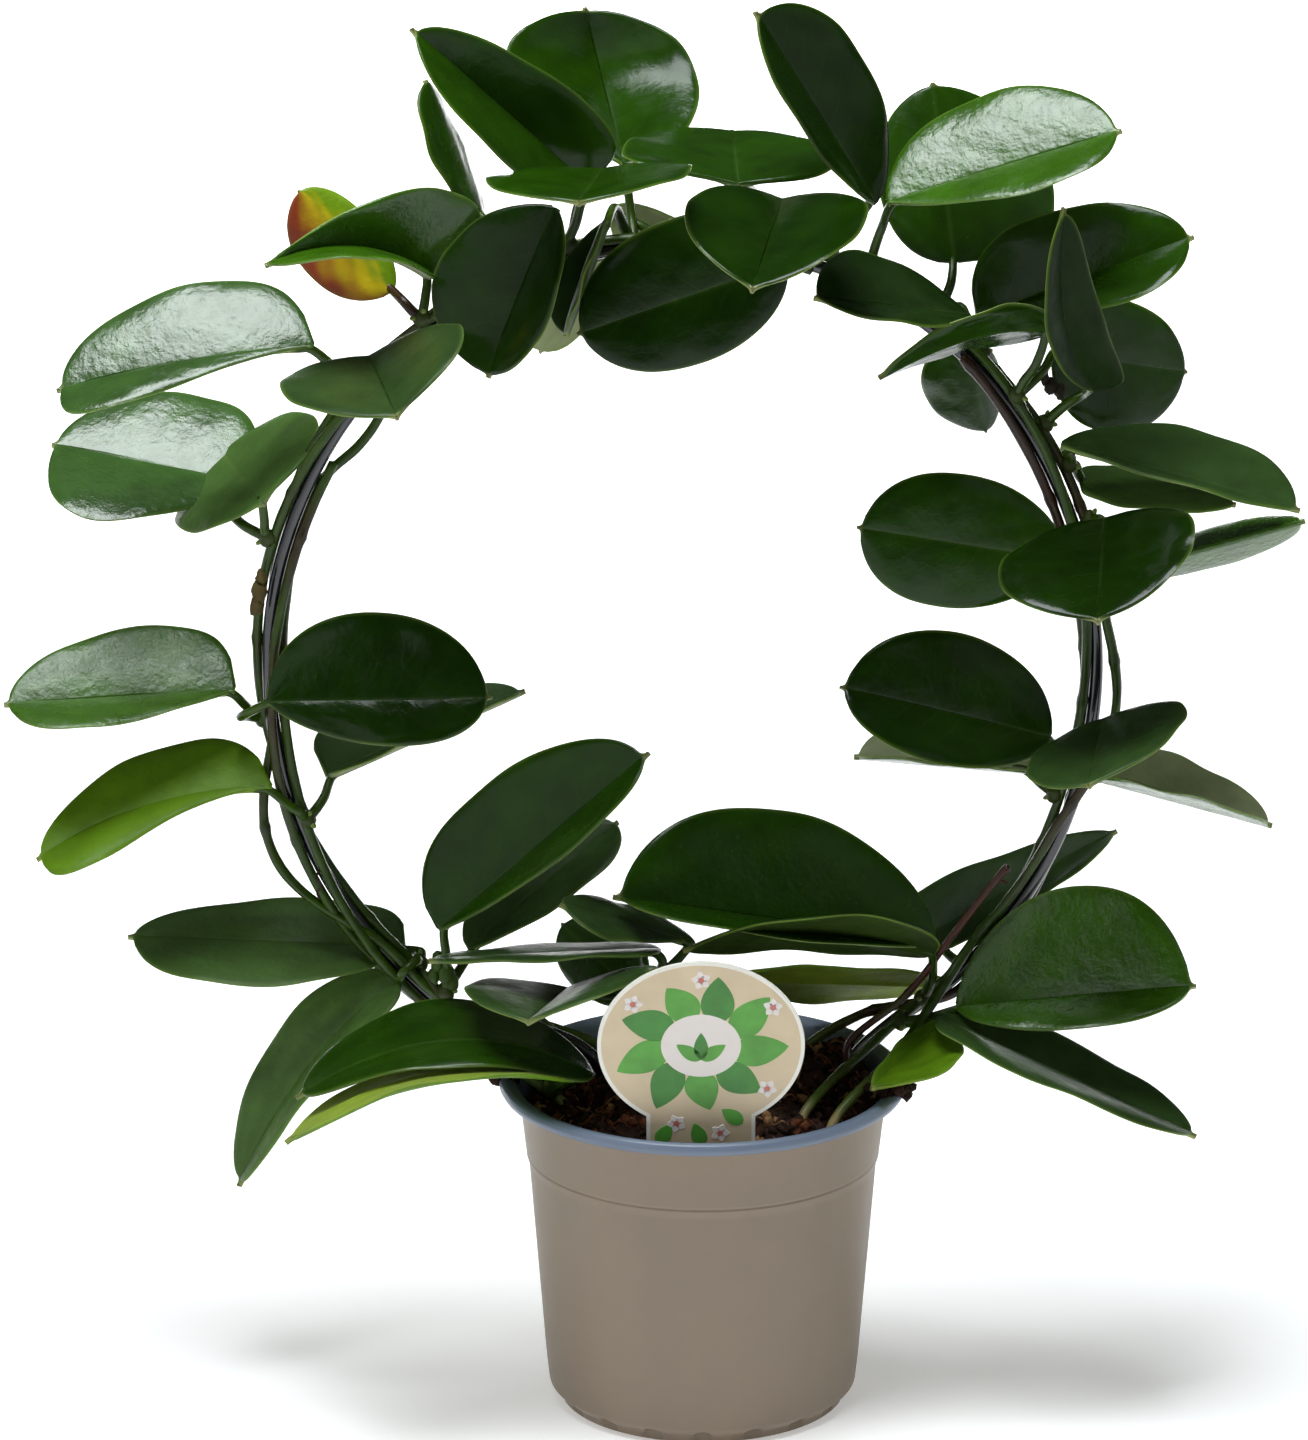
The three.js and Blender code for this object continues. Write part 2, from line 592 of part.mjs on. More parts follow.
function makeLabel(grow = 0) {
  const outline = new THREE.Shape();
  const halfWidth = labelSize.halfWidth + grow;
  const halfHeight = labelSize.halfHeight + grow;
  const neck = labelSize.neckHalf + grow;
  const stake = labelSize.stakeHalf + grow;
  const tip = labelSize.stakeTip - labelCentre.z;
  const open = Math.asin(neck / halfWidth);
  outline.moveTo(neck, -Math.cos(open) * halfHeight);
  outline.absellipse(0, 0, halfWidth, halfHeight, open - Math.PI / 2, -Math.PI / 2 - open + TAU, false);
  outline.lineTo(-neck, -labelSize.neckEnd);
  outline.lineTo(-stake, -labelSize.stakeStart);
  outline.lineTo(1 - stake, tip + 8);
  outline.lineTo(0, tip - grow);
  outline.lineTo(stake - 1, tip + 8);
  outline.lineTo(stake, -labelSize.stakeStart);
  outline.lineTo(neck, -labelSize.neckEnd);
  outline.closePath();
  const depth = labelSize.thickness + grow * 2;
  const plate = new THREE.ExtrudeGeometry(outline, { depth, bevelEnabled: false, curveSegments: 28 });
  plate.translate(0, 0, -depth / 2).rotateX(Math.PI / 2 - labelSize.lean);
  return solidOf(plate.translate(labelCentre.x, labelCentre.y, labelCentre.z));
}

// Build everything, each piece clear of those before it
const tubeSides = { hoop: 8, vine: 5 };
const stepLength = 11;

function strandTube(route, radius, grow = 0) {
  const curve = new THREE.CatmullRomCurve3(route, false, 'centripetal');
  const steps = Math.round(curve.getLength() / stepLength);
  return tube(route, radius + grow, tubeSides.vine, steps);
}

const hoopSteps = 56;
const hoopSolid = tube(hoopRoute(), hoopSize.wire, tubeSides.hoop, hoopSteps);
const hoopRoom = tube(hoopRoute(), hoopSize.wire + seat + 0.05, tubeSides.hoop, hoopSteps);
const labelSolid = makeLabel();
const labelRoom = makeLabel(seat);

const vineLooks = {
  vine_left_bowed: 0x5b6a3a,
  vine_left_long: 0x4f4a2e,
  vine_left_back: 0x6a5a3c,
  vine_left_thin: 0x56603a,
  vine_right_green: 0x5d7a36,
  vine_right_grey: 0x59663f,
  vine_right_back: 0x5a4630,
  stem_middle: 0x566a34,
  stem_dead: 0x5a2a1c,
};

const taken = [hoopRoom];
const vineSolids = {};
for (const [name, route] of Object.entries(routes)) {
  const radius = name === 'stem_dead' ? 1.25 : vineSize.radius;
  const body = strandTube(route, radius);
  vineSolids[name] = biggest(taken.reduce((rest, room) => rest.subtract(room), body));
  taken.push(strandTube(route, radius, seat + 0.05));
}

const ground = [...taken, labelRoom];
const soilSolid = ground.reduce((rest, room) => rest.subtract(room), makeSoil());

place('pot', makePot(), material(0x877b6d, 0.45));
place('soil', biggest(soilSolid), material(0x3a281c, 0.95));
place('hoop', hoopSolid, material(0x23262c, 0.25));
place('label', labelSolid, material(0xded9cc, 0.4));
for (const [name, solid] of Object.entries(vineSolids)) {
  place(name, solid, material(vineLooks[name], 0.55));
}

const leafLook = [0x2b4a22, 0x33552a, 0x264020];
const obstacles = joined([...taken, labelRoom]);
let count = 0;
for (const [name, spray] of Object.entries(sprays)) {
  const node = growthPoint(spray);
  const parts = [makeSwelling(node)];
  for (const leaf of spray.leaves) {
    parts.push(makeBlade(leaf), makePetiole(node, leaf));
  }
  const body = biggest(joined(parts).subtract(obstacles));
  place(name, body, material(leafLook[count % leafLook.length], 0.35));
  count += 1;
}

export default group;
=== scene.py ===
"""Potted hoya on a round hoop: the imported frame, dressed with fine leaves, vines, soil, pot and label."""

import math
from types import SimpleNamespace as Named

import bmesh
import bpy
import numpy as np
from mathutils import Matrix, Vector, noise


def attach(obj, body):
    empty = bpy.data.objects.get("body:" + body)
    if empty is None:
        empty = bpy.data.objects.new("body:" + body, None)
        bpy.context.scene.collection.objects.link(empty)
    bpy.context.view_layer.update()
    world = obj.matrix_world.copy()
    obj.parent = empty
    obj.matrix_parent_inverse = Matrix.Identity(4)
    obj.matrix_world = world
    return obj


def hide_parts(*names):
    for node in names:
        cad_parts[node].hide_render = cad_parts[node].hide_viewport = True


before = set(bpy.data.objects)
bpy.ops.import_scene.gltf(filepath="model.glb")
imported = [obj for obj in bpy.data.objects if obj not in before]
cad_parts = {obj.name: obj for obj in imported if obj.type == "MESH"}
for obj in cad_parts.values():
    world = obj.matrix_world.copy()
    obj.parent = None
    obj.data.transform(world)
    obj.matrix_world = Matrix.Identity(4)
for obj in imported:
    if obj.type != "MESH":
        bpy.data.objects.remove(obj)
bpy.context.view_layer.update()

TAU = math.tau
MM = 0.001

# The photograph's view: sizes in millimetres, the picture in pixels
PICTURE = (1308, 1440)
VIEW_ELEVATION = math.radians(18.3)
VIEW_DISTANCE = 3000.0
VIEW_SCALE = 0.2877
VIEW_CENTRE = (654, 720)
VIEW_TARGET = np.array([-14.2, 0.0, 207.3])
VIEW_FORWARD = np.array([0.0, math.cos(VIEW_ELEVATION), -math.sin(VIEW_ELEVATION)])
VIEW_RIGHT = np.array([1.0, 0.0, 0.0])
VIEW_UP = np.array([0.0, math.sin(VIEW_ELEVATION), math.cos(VIEW_ELEVATION)])
VIEW_POINT = VIEW_TARGET - VIEW_FORWARD * VIEW_DISTANCE
SENSOR = 36.0

# Pot, soil, hoop, vines and label, in millimetres
POT = Named(height=99.0, rim_radius=59.5, rim_band=3.6, rim_inner=54.2, shoulder_top=53.6,
            groove_height=76.0, groove_radius=51.4, groove_depth=0.2, waist_radius=50.6,
            foot_radius=44.8, foot_height=4.6, disc_radius=41.5, wall=1.3, floor=2.0, notches=18,
            notch_radius=3.2)
SOIL = Named(top=90.0, crown=5.0, ripple=1.3)
HOOP = Named(x=-6.0, y=16.0, z=218.0, half_width=119.5, half_height=127.0, wire=2.0)
HOOP_ARC = (math.radians(-59), math.radians(235), 40)
HOOP_FOOT_RIGHT = [(39, 13, 50), (40.5, 14, 88), (44, 15, 98)]
HOOP_FOOT_LEFT = [(-50, 16, 107.5), (-35, 14, 101.5), (-29, 13, 94), (-27, 12, 50)]
VINE_RADIUS = 1.5
DEAD_RADIUS = 1.1
VINE_CLEAR = 0.4
VINE_TWIST = 2.6
VINE_SUNK = 24.0
DEAD_SUNK = 22.0
TURN_STEP = 5
PATH_STEP = 0.5
STRANDS = 5
LAY_RADIUS = HOOP.wire + VINE_RADIUS + VINE_CLEAR
PETIOLE_RADIUS = 1.35
LABEL = Named(half_width=29.7, half_height=26.2, thickness=0.9, neck_half=15.6, neck_end=30.0,
              stake_half=7.0, stake_start=38.0, stake_tip=46.0, lean=-0.08)

# Leaf blades
RIB_THICKNESS = 1.7
EDGE_THICKNESS = 0.9
CROWN = 0.03
SPUR_START = 0.975
SPUR_SLOPE = 2.4
SPUR_WIDTH = 0.05
FULLNESS = 2.1
LEAST_WIDTH = (0.05, 0.02)
WIDEST_FROM = 0.25
WIDEST_TO = 0.8


def srgb(red, green, blue):
    """A colour given as 0 to 255 display values, in the linear values that Blender wants."""
    shown = np.array([red, green, blue]) / 255
    return np.where(shown < 0.04045, shown / 12.92, ((shown + 0.055) / 1.055) ** 2.4)


# Each leaf tone: its colour, its roughness, its specular level and how deep its crinkles are. The shade
# tone is for leaves that lie in shadow, and its dull dark green is painted shade
LEAF_TONES = {
    "deep": (srgb(16, 38, 2), 0.18, 0.2, 0.35),
    "dark": (srgb(26, 54, 3), 0.19, 0.21, 0.38),
    "shade": (srgb(20, 38, 8), 0.42, 0.07, 0.35),
    "dull": (srgb(42, 64, 27), 0.36, 0.15, 0.58),
    "pale": (srgb(66, 94, 42), 0.4, 0.165, 1.0),
    "mid": (srgb(44, 80, 5), 0.2, 0.47, 1.0),
    "sheen": (srgb(52, 86, 20), 0.3, 0.355, 1.0),
    "silver": (srgb(50, 79, 32), 0.2, 0.47, 1.0),
    "fresh": (srgb(78, 112, 8), 0.48, 0.165, 1.0),
    "autumn": (srgb(168, 150, 18), 0.38, 0.2, 1.0),
}
UNDERSIDE = srgb(128, 138, 98)
# Undersides with colours of their own: fresh and autumn leaves have their own, and the shade tone's dark
# underside is painted shade over the pale underside
UNDERSIDES = {"fresh": srgb(112, 132, 36), "shade": srgb(44, 62, 20), "autumn": srgb(150, 150, 70)}
AUTUMN_GREEN = srgb(96, 128, 10)
AUTUMN_RED = srgb(120, 48, 22)
LEAF_MARGIN = srgb(120, 150, 60)
LEAF_RIB = srgb(92, 122, 58)
LEAF_TIP = srgb(170, 160, 110)
VINE_GREEN = srgb(40, 64, 2)
VINE_BROWN = srgb(44, 34, 8)
VINE_RED = srgb(44, 26, 12)
VINE_FRESH = srgb(98, 122, 50)
BURR_OLIVE = srgb(72, 60, 24)
STUMP_TAN = srgb(176, 152, 112)
DEAD_RED = srgb(58, 28, 16)
HOOP_DARK = srgb(26, 27, 33)

# The veins, on the blade's own 0 to 1 square
VEINS = Named(sweep=0.55, wander=0.03, half_pitch=0.065, width=0.011, fade=(0.12, 0.42), tint_share=0.02)
# Each crinkle of the gloss: its noise's scale, detail and roughness, and its bump's strength and depth
CRINKLES = [((480.0, 4.0, 0.6), 0.36, 0.0006), ((170.0, 3.0, 0.5), 0.3, 0.0012)]
# Pale dots and brown specks: spacing in metres, the patchy noise where none show and all show, colour
SPOTS = [(0.019, 0.58, 0.62, srgb(150, 170, 130)), (0.008, 0.37, 0.34, srgb(50, 34, 18))]


def at(px, py, depth=0.0):
    """The place that a picture pixel shows, depth millimetres behind the hoop's plane."""
    ray = VIEW_FORWARD * VIEW_DISTANCE
    ray = ray + VIEW_RIGHT * (px - VIEW_CENTRE[0]) * VIEW_SCALE
    ray = ray + VIEW_UP * (VIEW_CENTRE[1] - py) * VIEW_SCALE
    return VIEW_POINT + ray * ((HOOP.y + depth - VIEW_POINT[1]) / ray[1])


def unit(vector):
    return vector / max(np.linalg.norm(vector), 1e-9)


def smoothstep(low, high, value):
    part = np.clip((value - low) / (high - low), 0, 1)
    return part * part * (3 - 2 * part)


def mix(first, second, part):
    """Between two colours, by a number for each vertex."""
    part = np.asarray(part)[..., None]
    return first * (1 - part) + second * part


def even_turns(count):
    """Turns spread evenly round a full circle."""
    return np.arange(count) * TAU / count


def uneven_at(place):
    """Smooth noise, about -1 to 1."""
    return noise.noise(Vector(place))


def add_object(name, data):
    """A new object in the scene."""
    shown = bpy.data.objects.new(name, data)
    bpy.context.scene.collection.objects.link(shown)
    return shown


class Shape:
    """Points and faces gathered for one mesh, with a colour, a roughness and a uv for each point."""

    def __init__(self):
        self.points = []
        self.faces = []
        self.looks = []
        self.tints = []
        self.rough = []
        self.uvs = []
        self.count = 0

    def add(self, points, faces, tint, rough=0.5, uv=None, look=0):
        size = len(points)
        self.points.append(points)
        self.faces.extend((np.asarray(faces) + self.count).tolist())
        self.looks.extend([look] * len(faces))
        self.tints.append(np.broadcast_to(tint, (size, 3)))
        self.rough.append(np.broadcast_to(rough, (size,)))
        self.uvs.append(np.zeros((size, 2)) if uv is None else uv)
        self.count += size

    def add_caps(self, start, faces, look):
        """Faces with any number of corners, on the points from start on."""
        self.faces.extend([start + corner for corner in face] for face in faces)
        self.looks.extend([look] * len(faces))

    def build(self, name, materials, flat=False):
        """A Blender object in metres whose place is in its mesh."""
        points = np.concatenate(self.points) * MM
        mesh = bpy.data.meshes.new(name)
        mesh.from_pydata(points.tolist(), [], self.faces)
        for material in materials:
            mesh.materials.append(material)
        mesh.polygons.foreach_set("material_index", self.looks)
        mesh.polygons.foreach_set("use_smooth", [not flat] * len(mesh.polygons))
        tint = mesh.attributes.new("tint", "FLOAT_COLOR", "POINT")
        tints = np.concatenate(self.tints)
        tint.data.foreach_set("color", np.c_[tints, np.ones(len(tints))].ravel())
        rough = mesh.attributes.new("rough", "FLOAT", "POINT")
        rough.data.foreach_set("value", np.concatenate(self.rough).ravel())
        corners = np.empty(len(mesh.loops), dtype=np.int32)
        mesh.loops.foreach_get("vertex_index", corners)
        layer = mesh.uv_layers.new(name="skin")
        layer.data.foreach_set("uv", np.concatenate(self.uvs)[corners].ravel())
        close_up(mesh)
        return add_object(name, mesh)


def close_up(mesh):
    """Points that coincide become one, and every closed body faces out."""
    work = bmesh.new()
    work.from_mesh(mesh)
    bmesh.ops.remove_doubles(work, verts=work.verts, dist=1e-7)
    bmesh.ops.recalc_face_normals(work, faces=work.faces)
    work.to_mesh(mesh)
    work.free()
    mesh.update()


def grid_faces(rows, columns, closed=False):
    """The quads of a grid of points, row by row, wrapped round where it is closed."""
    across = np.arange(columns if closed else columns - 1)
    first = np.arange(rows - 1)[:, None] * columns + across
    second = np.arange(rows - 1)[:, None] * columns + (across + 1) % columns
    return np.stack([first, second, second + columns, first + columns], -1).reshape(-1, 4)


def smooth_path(points, step):
    """A centripetal Catmull-Rom curve through the points, in even steps."""
    points = [np.asarray(point, dtype=float) for point in points]
    first = 2 * points[0] - points[1]
    last = 2 * points[-1] - points[-2]
    knots = [first, *points, last]
    places = []
    for before, start, end, after in zip(knots, knots[1:], knots[2:], knots[3:]):
        gaps = [max(np.linalg.norm(b - a), 1e-6) ** 0.5
                for a, b in ((before, start), (start, end), (end, after))]
        leave = ((start - before) / gaps[0] - (end - before) / (gaps[0] + gaps[1])
                 + (end - start) / gaps[1]) * gaps[1]
        arrive = ((end - start) / gaps[1] - (after - start) / (gaps[1] + gaps[2])
                  + (after - end) / gaps[2]) * gaps[1]
        t = np.linspace(0, 1, 24, endpoint=False)[:, None]
        places.append((2 * t**3 - 3 * t**2 + 1) * start + (t**3 - 2 * t**2 + t) * leave
                      + (3 * t**2 - 2 * t**3) * end + (t**3 - t**2) * arrive)
    places = np.concatenate([*places, points[-1][None]])
    run = np.r_[0, np.cumsum(np.linalg.norm(np.diff(places, axis=0), axis=1))]
    count = max(3, int(round(run[-1] / step)) + 1)
    even = np.linspace(0, run[-1], count)
    return np.stack([np.interp(even, run, places[:, axis]) for axis in range(3)], -1)


# Directions that no path or axis here runs along, to turn rings and balls from
TUBE_SIDE = (0.31, 0.87, 0.12)
BALL_SIDE = (0.3, 0.9, 0.2)
# How fine the lumps of a ball are, and how far a tube's end stands out, by its radius
BALL_PITCH = 1.7
CAP_BULGE = 0.4


def add_tube(shape, path, radius, tint, sides, rough, look=0):
    """A closed tube of round section; radius and tint may change along it."""
    rings = len(path)
    tangents = np.gradient(path, axis=0)
    tangents /= np.linalg.norm(tangents, axis=1)[:, None]
    side = unit(np.cross(tangents[0], TUBE_SIDE))
    turns = even_turns(sides)
    radius = np.broadcast_to(np.asarray(radius, dtype=float).reshape(-1, 1)
                             if np.ndim(radius) < 2 else radius, (rings, sides))
    points = np.empty((rings, sides, 3))
    for i, (centre, tangent) in enumerate(zip(path, tangents)):
        side = unit(side - tangent * side.dot(tangent))
        other = np.cross(tangent, side)
        ring = np.cos(turns)[:, None] * side + np.sin(turns)[:, None] * other
        points[i] = centre + ring * radius[i][:, None]
    length = np.r_[0, np.cumsum(np.linalg.norm(np.diff(path, axis=0), axis=1))]
    uv = np.stack(np.broadcast_arrays(np.abs(np.arange(sides) / sides - 0.5)[None] * 2,
                                      length[:, None] / 100), -1)
    ends = np.stack([path[0] - tangents[0] * radius[0].mean() * CAP_BULGE,
                     path[-1] + tangents[-1] * radius[-1].mean() * CAP_BULGE])
    last = (rings - 1) * sides
    centre = rings * sides
    caps = [(centre, (i + 1) % sides, i) for i in range(sides)]
    caps += [(centre + 1, last + i, last + (i + 1) % sides) for i in range(sides)]
    tints = np.repeat(np.broadcast_to(tint, (rings, 3)), sides, axis=0)
    tints = np.concatenate([tints, tints[:1], tints[-1:]])
    uvs = np.concatenate([uv.reshape(-1, 2), uv[0, :1], uv[-1, :1]])
    places = np.concatenate([points.reshape(-1, 3), ends])
    start = shape.count
    shape.add(places, grid_faces(rings, sides, closed=True), tints, rough, uvs, look)
    shape.add_caps(start, caps, look)


def ball(columns, rows):
    """A unit ball, pole to pole: its points, its quads and the triangles at its poles."""
    polar = np.linspace(0, math.pi, rows + 1)[1:-1]
    turns = even_turns(columns)
    ring = np.stack([np.outer(np.sin(polar), np.cos(turns)), np.outer(np.sin(polar), np.sin(turns)),
                     np.outer(np.cos(polar), np.ones(columns))], -1).reshape(-1, 3)
    points = np.concatenate([ring, [[0, 0, 1], [0, 0, -1]]])
    last = (rows - 2) * columns
    caps = []
    for i in range(columns):
        after = (i + 1) % columns
        caps.append((len(ring), i, after))
        caps.append((len(ring) + 1, last + after, last + i))
    return points, grid_faces(rows - 1, columns, closed=True)[:, ::-1], caps


def add_ball(shape, centre, radii, tint, axis=(0, 0, 1), lumps=0.0, rough=0.5, look=0, detail=(12, 8)):
    """A ball with its own radii, its third radius along the axis, and an uneven surface."""
    points, quads, caps = ball(*detail)
    axis = unit(np.asarray(axis, dtype=float))
    side = unit(np.cross(axis, BALL_SIDE))
    turned = np.stack([side, np.cross(axis, side), axis])
    uneven = np.array([uneven_at(point * BALL_PITCH + centre) for point in points])
    places = (points * np.asarray(radii)) @ turned * (1 + lumps * uneven)[:, None] + centre
    shape.add_caps(shape.count, caps, look)
    shape.add(places, quads, tint, rough, look=look)


# Materials
class Skin:
    """A material with its Principled shader, and short ways to add nodes to it."""

    def __init__(self, name):
        self.material = bpy.data.materials.new(name)
        self.material.use_nodes = True
        self.tree = self.material.node_tree
        self.tree.nodes.clear()
        output = self.node("OutputMaterial")
        self.shader = self.node("BsdfPrincipled")
        self.feed(output, {"Surface": self.shader.outputs["BSDF"]})

    def node(self, kind, values=None):
        node = self.tree.nodes.new("ShaderNode" + kind)
        self.feed(node, values or {})
        return node

    def feed(self, node, values):
        """Numbers and colours are set on the node's own sockets, and other nodes' outputs are linked."""
        for name, value in values.items():
            socket = node.inputs[name]
            if isinstance(value, bpy.types.NodeSocket):
                self.tree.links.new(value, socket)
            elif np.ndim(value):
                socket.default_value = (*value, 1.0)[:len(socket.default_value)]
            else:
                socket.default_value = value

    def finish(self, looks):
        self.feed(self.shader, looks)
        return self.material

    def place(self):
        return self.node("TexCoord").outputs["Object"]

    def uv(self):
        node = self.node("UVMap")
        node.uv_map = "skin"
        return node.outputs["UV"]

    def attribute(self, name, output="Color"):
        node = self.node("Attribute")
        node.attribute_name = name
        return node.outputs[output]

    def stretched(self, place, scale):
        return self.node("Mapping", {"Vector": place, "Scale": scale}).outputs["Vector"]

    def noise(self, place, scale, detail=3.0, rough=0.55):
        values = {"Vector": place, "Scale": scale, "Detail": detail, "Roughness": rough}
        return self.node("TexNoise", values).outputs["Fac"]

    def spread(self, value, low, high, to_low=0.0, to_high=1.0):
        """A value from low to high, spread over to_low to to_high."""
        values = {"Value": value, "From Min": low, "From Max": high, "To Min": to_low, "To Max": to_high}
        return self.node("MapRange", values).outputs["Result"]

    def maths(self, operation, *values):
        node = self.node("Math")
        node.operation = operation
        self.feed(node, dict(enumerate(values)))
        return node.outputs["Value"]

    def scaled(self, tint, part):
        """A colour made darker or paler from place to place."""
        node = self.node("VectorMath")
        node.operation = "SCALE"
        self.feed(node, {0: tint, "Scale": part})
        return node.outputs["Vector"]

    def blend(self, part, first, second):
        node = self.node("Mix")
        node.data_type = "RGBA"
        self.feed(node, {0: part, 6: first, 7: second})
        return node.outputs[2]

    def bump(self, height, strength, distance, after=None):
        node = self.node("Bump", {"Height": height, "Strength": strength, "Distance": distance})
        if after is not None:
            self.feed(node, {"Normal": after})
        return node.outputs["Normal"]


def leaf_material(tone):
    """Waxy leaf: the blade's own tint, clouded and veined, with a crinkled gloss."""
    _, _, level, crinkled = LEAF_TONES[tone]
    skin = Skin("leaf_" + tone)
    place = skin.place()
    split = skin.node("SeparateXYZ", {"Vector": skin.uv()})
    reach = skin.maths("ABSOLUTE", skin.maths("SUBTRACT", split.outputs["Y"], 0.5))
    sweep = skin.maths("SUBTRACT", split.outputs["X"], skin.maths("MULTIPLY", reach, VEINS.sweep))
    wander = skin.spread(skin.noise(place, 90.0), 0.3, 0.7, -VEINS.wander, VEINS.wander)
    wave = skin.maths("PINGPONG", skin.maths("ADD", sweep, wander), VEINS.half_pitch)
    vein = skin.spread(wave, 0.0, VEINS.width, 1.0, 0.0)
    vein = skin.maths("MULTIPLY", vein, skin.spread(reach, *VEINS.fade, 1.0, 0.0))
    cloud = skin.spread(skin.noise(place, 70.0, 4.0), 0.3, 0.7, 0.82, 1.18)
    colour = skin.scaled(skin.attribute("tint"), cloud)
    colour = skin.blend(skin.maths("MULTIPLY", vein, VEINS.tint_share), colour, LEAF_RIB)
    patches = skin.noise(place, 22.0, 2.0)
    for spacing, none, full, spot_tint in SPOTS:
        cells = skin.node("TexVoronoi", {"Scale": 1 / spacing, "Vector": place})
        spot = skin.spread(cells.outputs["Distance"], 0.018, 0.03, 0.4, 0.0)
        part = skin.maths("MULTIPLY", spot, skin.spread(patches, none, full))
        colour = skin.blend(part, colour, spot_tint)
    fine = skin.spread(skin.noise(place, 260.0, 3.0, 0.6), 0.3, 0.7, -0.05, 0.07)
    normal = None
    for look, strength, depth in CRINKLES:
        normal = skin.bump(skin.noise(place, *look), strength, depth * crinkled, normal)
    normal = skin.bump(vein, 0.06, 0.0002, normal)
    return skin.finish({"Base Color": colour, "Normal": normal, "Specular IOR Level": level,
                        "Roughness": skin.maths("ADD", skin.attribute("rough", "Fac"), fine)})


def bark_material():
    """Vine and petiole skin: streaked along its length."""
    skin = Skin("bark")
    streak = skin.noise(skin.stretched(skin.uv(), (14.0, 9.0, 1.0)), 1.0)
    both = skin.maths("ADD", streak, skin.noise(skin.place(), 160.0))
    colour = skin.scaled(skin.attribute("tint"), skin.spread(both, 0.7, 1.3, 0.66, 1.36))
    return skin.finish({"Base Color": colour, "Roughness": skin.attribute("rough", "Fac"),
                        "Normal": skin.bump(both, 0.3, 0.0004), "Specular IOR Level": 0.3})


def hoop_material():
    skin = Skin("hoop_gloss")
    scuffs = skin.spread(skin.noise(skin.place(), 240.0, 4.0), 0.3, 0.7, 0.14, 0.26)
    return skin.finish({"Base Color": HOOP_DARK, "Coat Weight": 0.6, "Coat Roughness": 0.1,
                        "Roughness": scuffs})


def pot_material(name, tint, low, high):
    """Moulded pot plastic, with faint upright flow marks and a fine grain."""
    skin = Skin(name)
    place = skin.place()
    flow = skin.noise(skin.stretched(place, (1.0, 1.0, 0.12)), 26.0)
    cloud = skin.noise(place, 45.0, 4.0)
    shades = skin.spread(skin.maths("ADD", flow, cloud), 0.7, 1.3, 0.93, 1.07)
    grain = skin.noise(place, 1500.0, 2.0)
    return skin.finish({"Base Color": skin.scaled(tint, shades), "Normal": skin.bump(grain, 0.12, 0.0002),
                        "Roughness": skin.spread(cloud, 0.3, 0.7, low, high)})


def soil_material():
    skin = Skin("peat")
    crumbs = skin.noise(skin.place(), 420.0, 5.0, 0.65)
    colour = skin.scaled(skin.attribute("tint"), skin.spread(crumbs, 0.35, 0.7, 0.5, 1.5))
    return skin.finish({"Base Color": colour, "Roughness": 0.92, "Specular IOR Level": 0.2,
                        "Normal": skin.bump(crumbs, 0.8, 0.0012)})


def plain_material(name, tint, rough, grain):
    skin = Skin(name)
    shades = skin.spread(skin.noise(skin.place(), 120.0), 0.3, 0.7, 1 - grain, 1 + grain)
    return skin.finish({"Base Color": skin.scaled(tint, shades), "Roughness": rough})


LEAVES = {tone: leaf_material(tone) for tone in LEAF_TONES}
BARK = bark_material()


def dress(shape, node, materials, flat=False):
    """The finished shape stands for its node and rides with the whole plant."""
    piece = shape.build(node + "_fine", materials, flat)
    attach(piece, "root")
    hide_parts(node)


# The hoop and the vines keep the routes of the solids
def hoop_point(angle, out=0.0, back=0.0):
    return np.array([HOOP.x + (HOOP.half_width + out) * math.cos(angle), HOOP.y + back,
                     HOOP.z + (HOOP.half_height + out) * math.sin(angle)])


def hoop_route():
    start, end, steps = HOOP_ARC
    arc = [hoop_point(start + (end - start) * i / steps) for i in range(steps + 1)]
    return [*HOOP_FOOT_RIGHT, *arc, *HOOP_FOOT_LEFT]


def strand_point(strand, turn, bow):
    angle = math.radians(turn)
    phase = strand * TAU / STRANDS + VINE_TWIST * angle
    out = LAY_RADIUS * math.cos(phase)
    if bow:
        first, last, rise = bow
        if first < turn < last:
            out += rise * math.sin(math.pi * (turn - first) / (last - first)) ** 2
    return hoop_point(angle, out, LAY_RADIUS * math.sin(phase))


def below(point, depth):
    return np.array([point[0], point[1], point[2] - depth])


def vine(strand, start, end, foot, over, brown, bow=None, skin=VINE_BROWN, slot="vine_green"):
    """A vine from its foot over the rim and along its strand round the hoop, between two turns in degrees.

    brown: the share of its skin that isn't green. bow: the turns where it stands off, and how far.
    """
    count = math.ceil(abs(end - start) / TURN_STEP)
    wound = [strand_point(strand, start + (end - start) * i / count, bow) for i in range(count + 1)]
    return Named(route=[below(foot, VINE_SUNK), foot, over, *wound], brown=brown, skin=skin, slot=slot)


def stem(places, sunk, brown, skin=VINE_BROWN, slot="vine_green"):
    """A free stem through its picture places, its foot sunk in the soil."""
    route = [at(*place) for place in places]
    return Named(route=[below(route[0], sunk), *route], brown=brown, skin=skin, slot=slot)


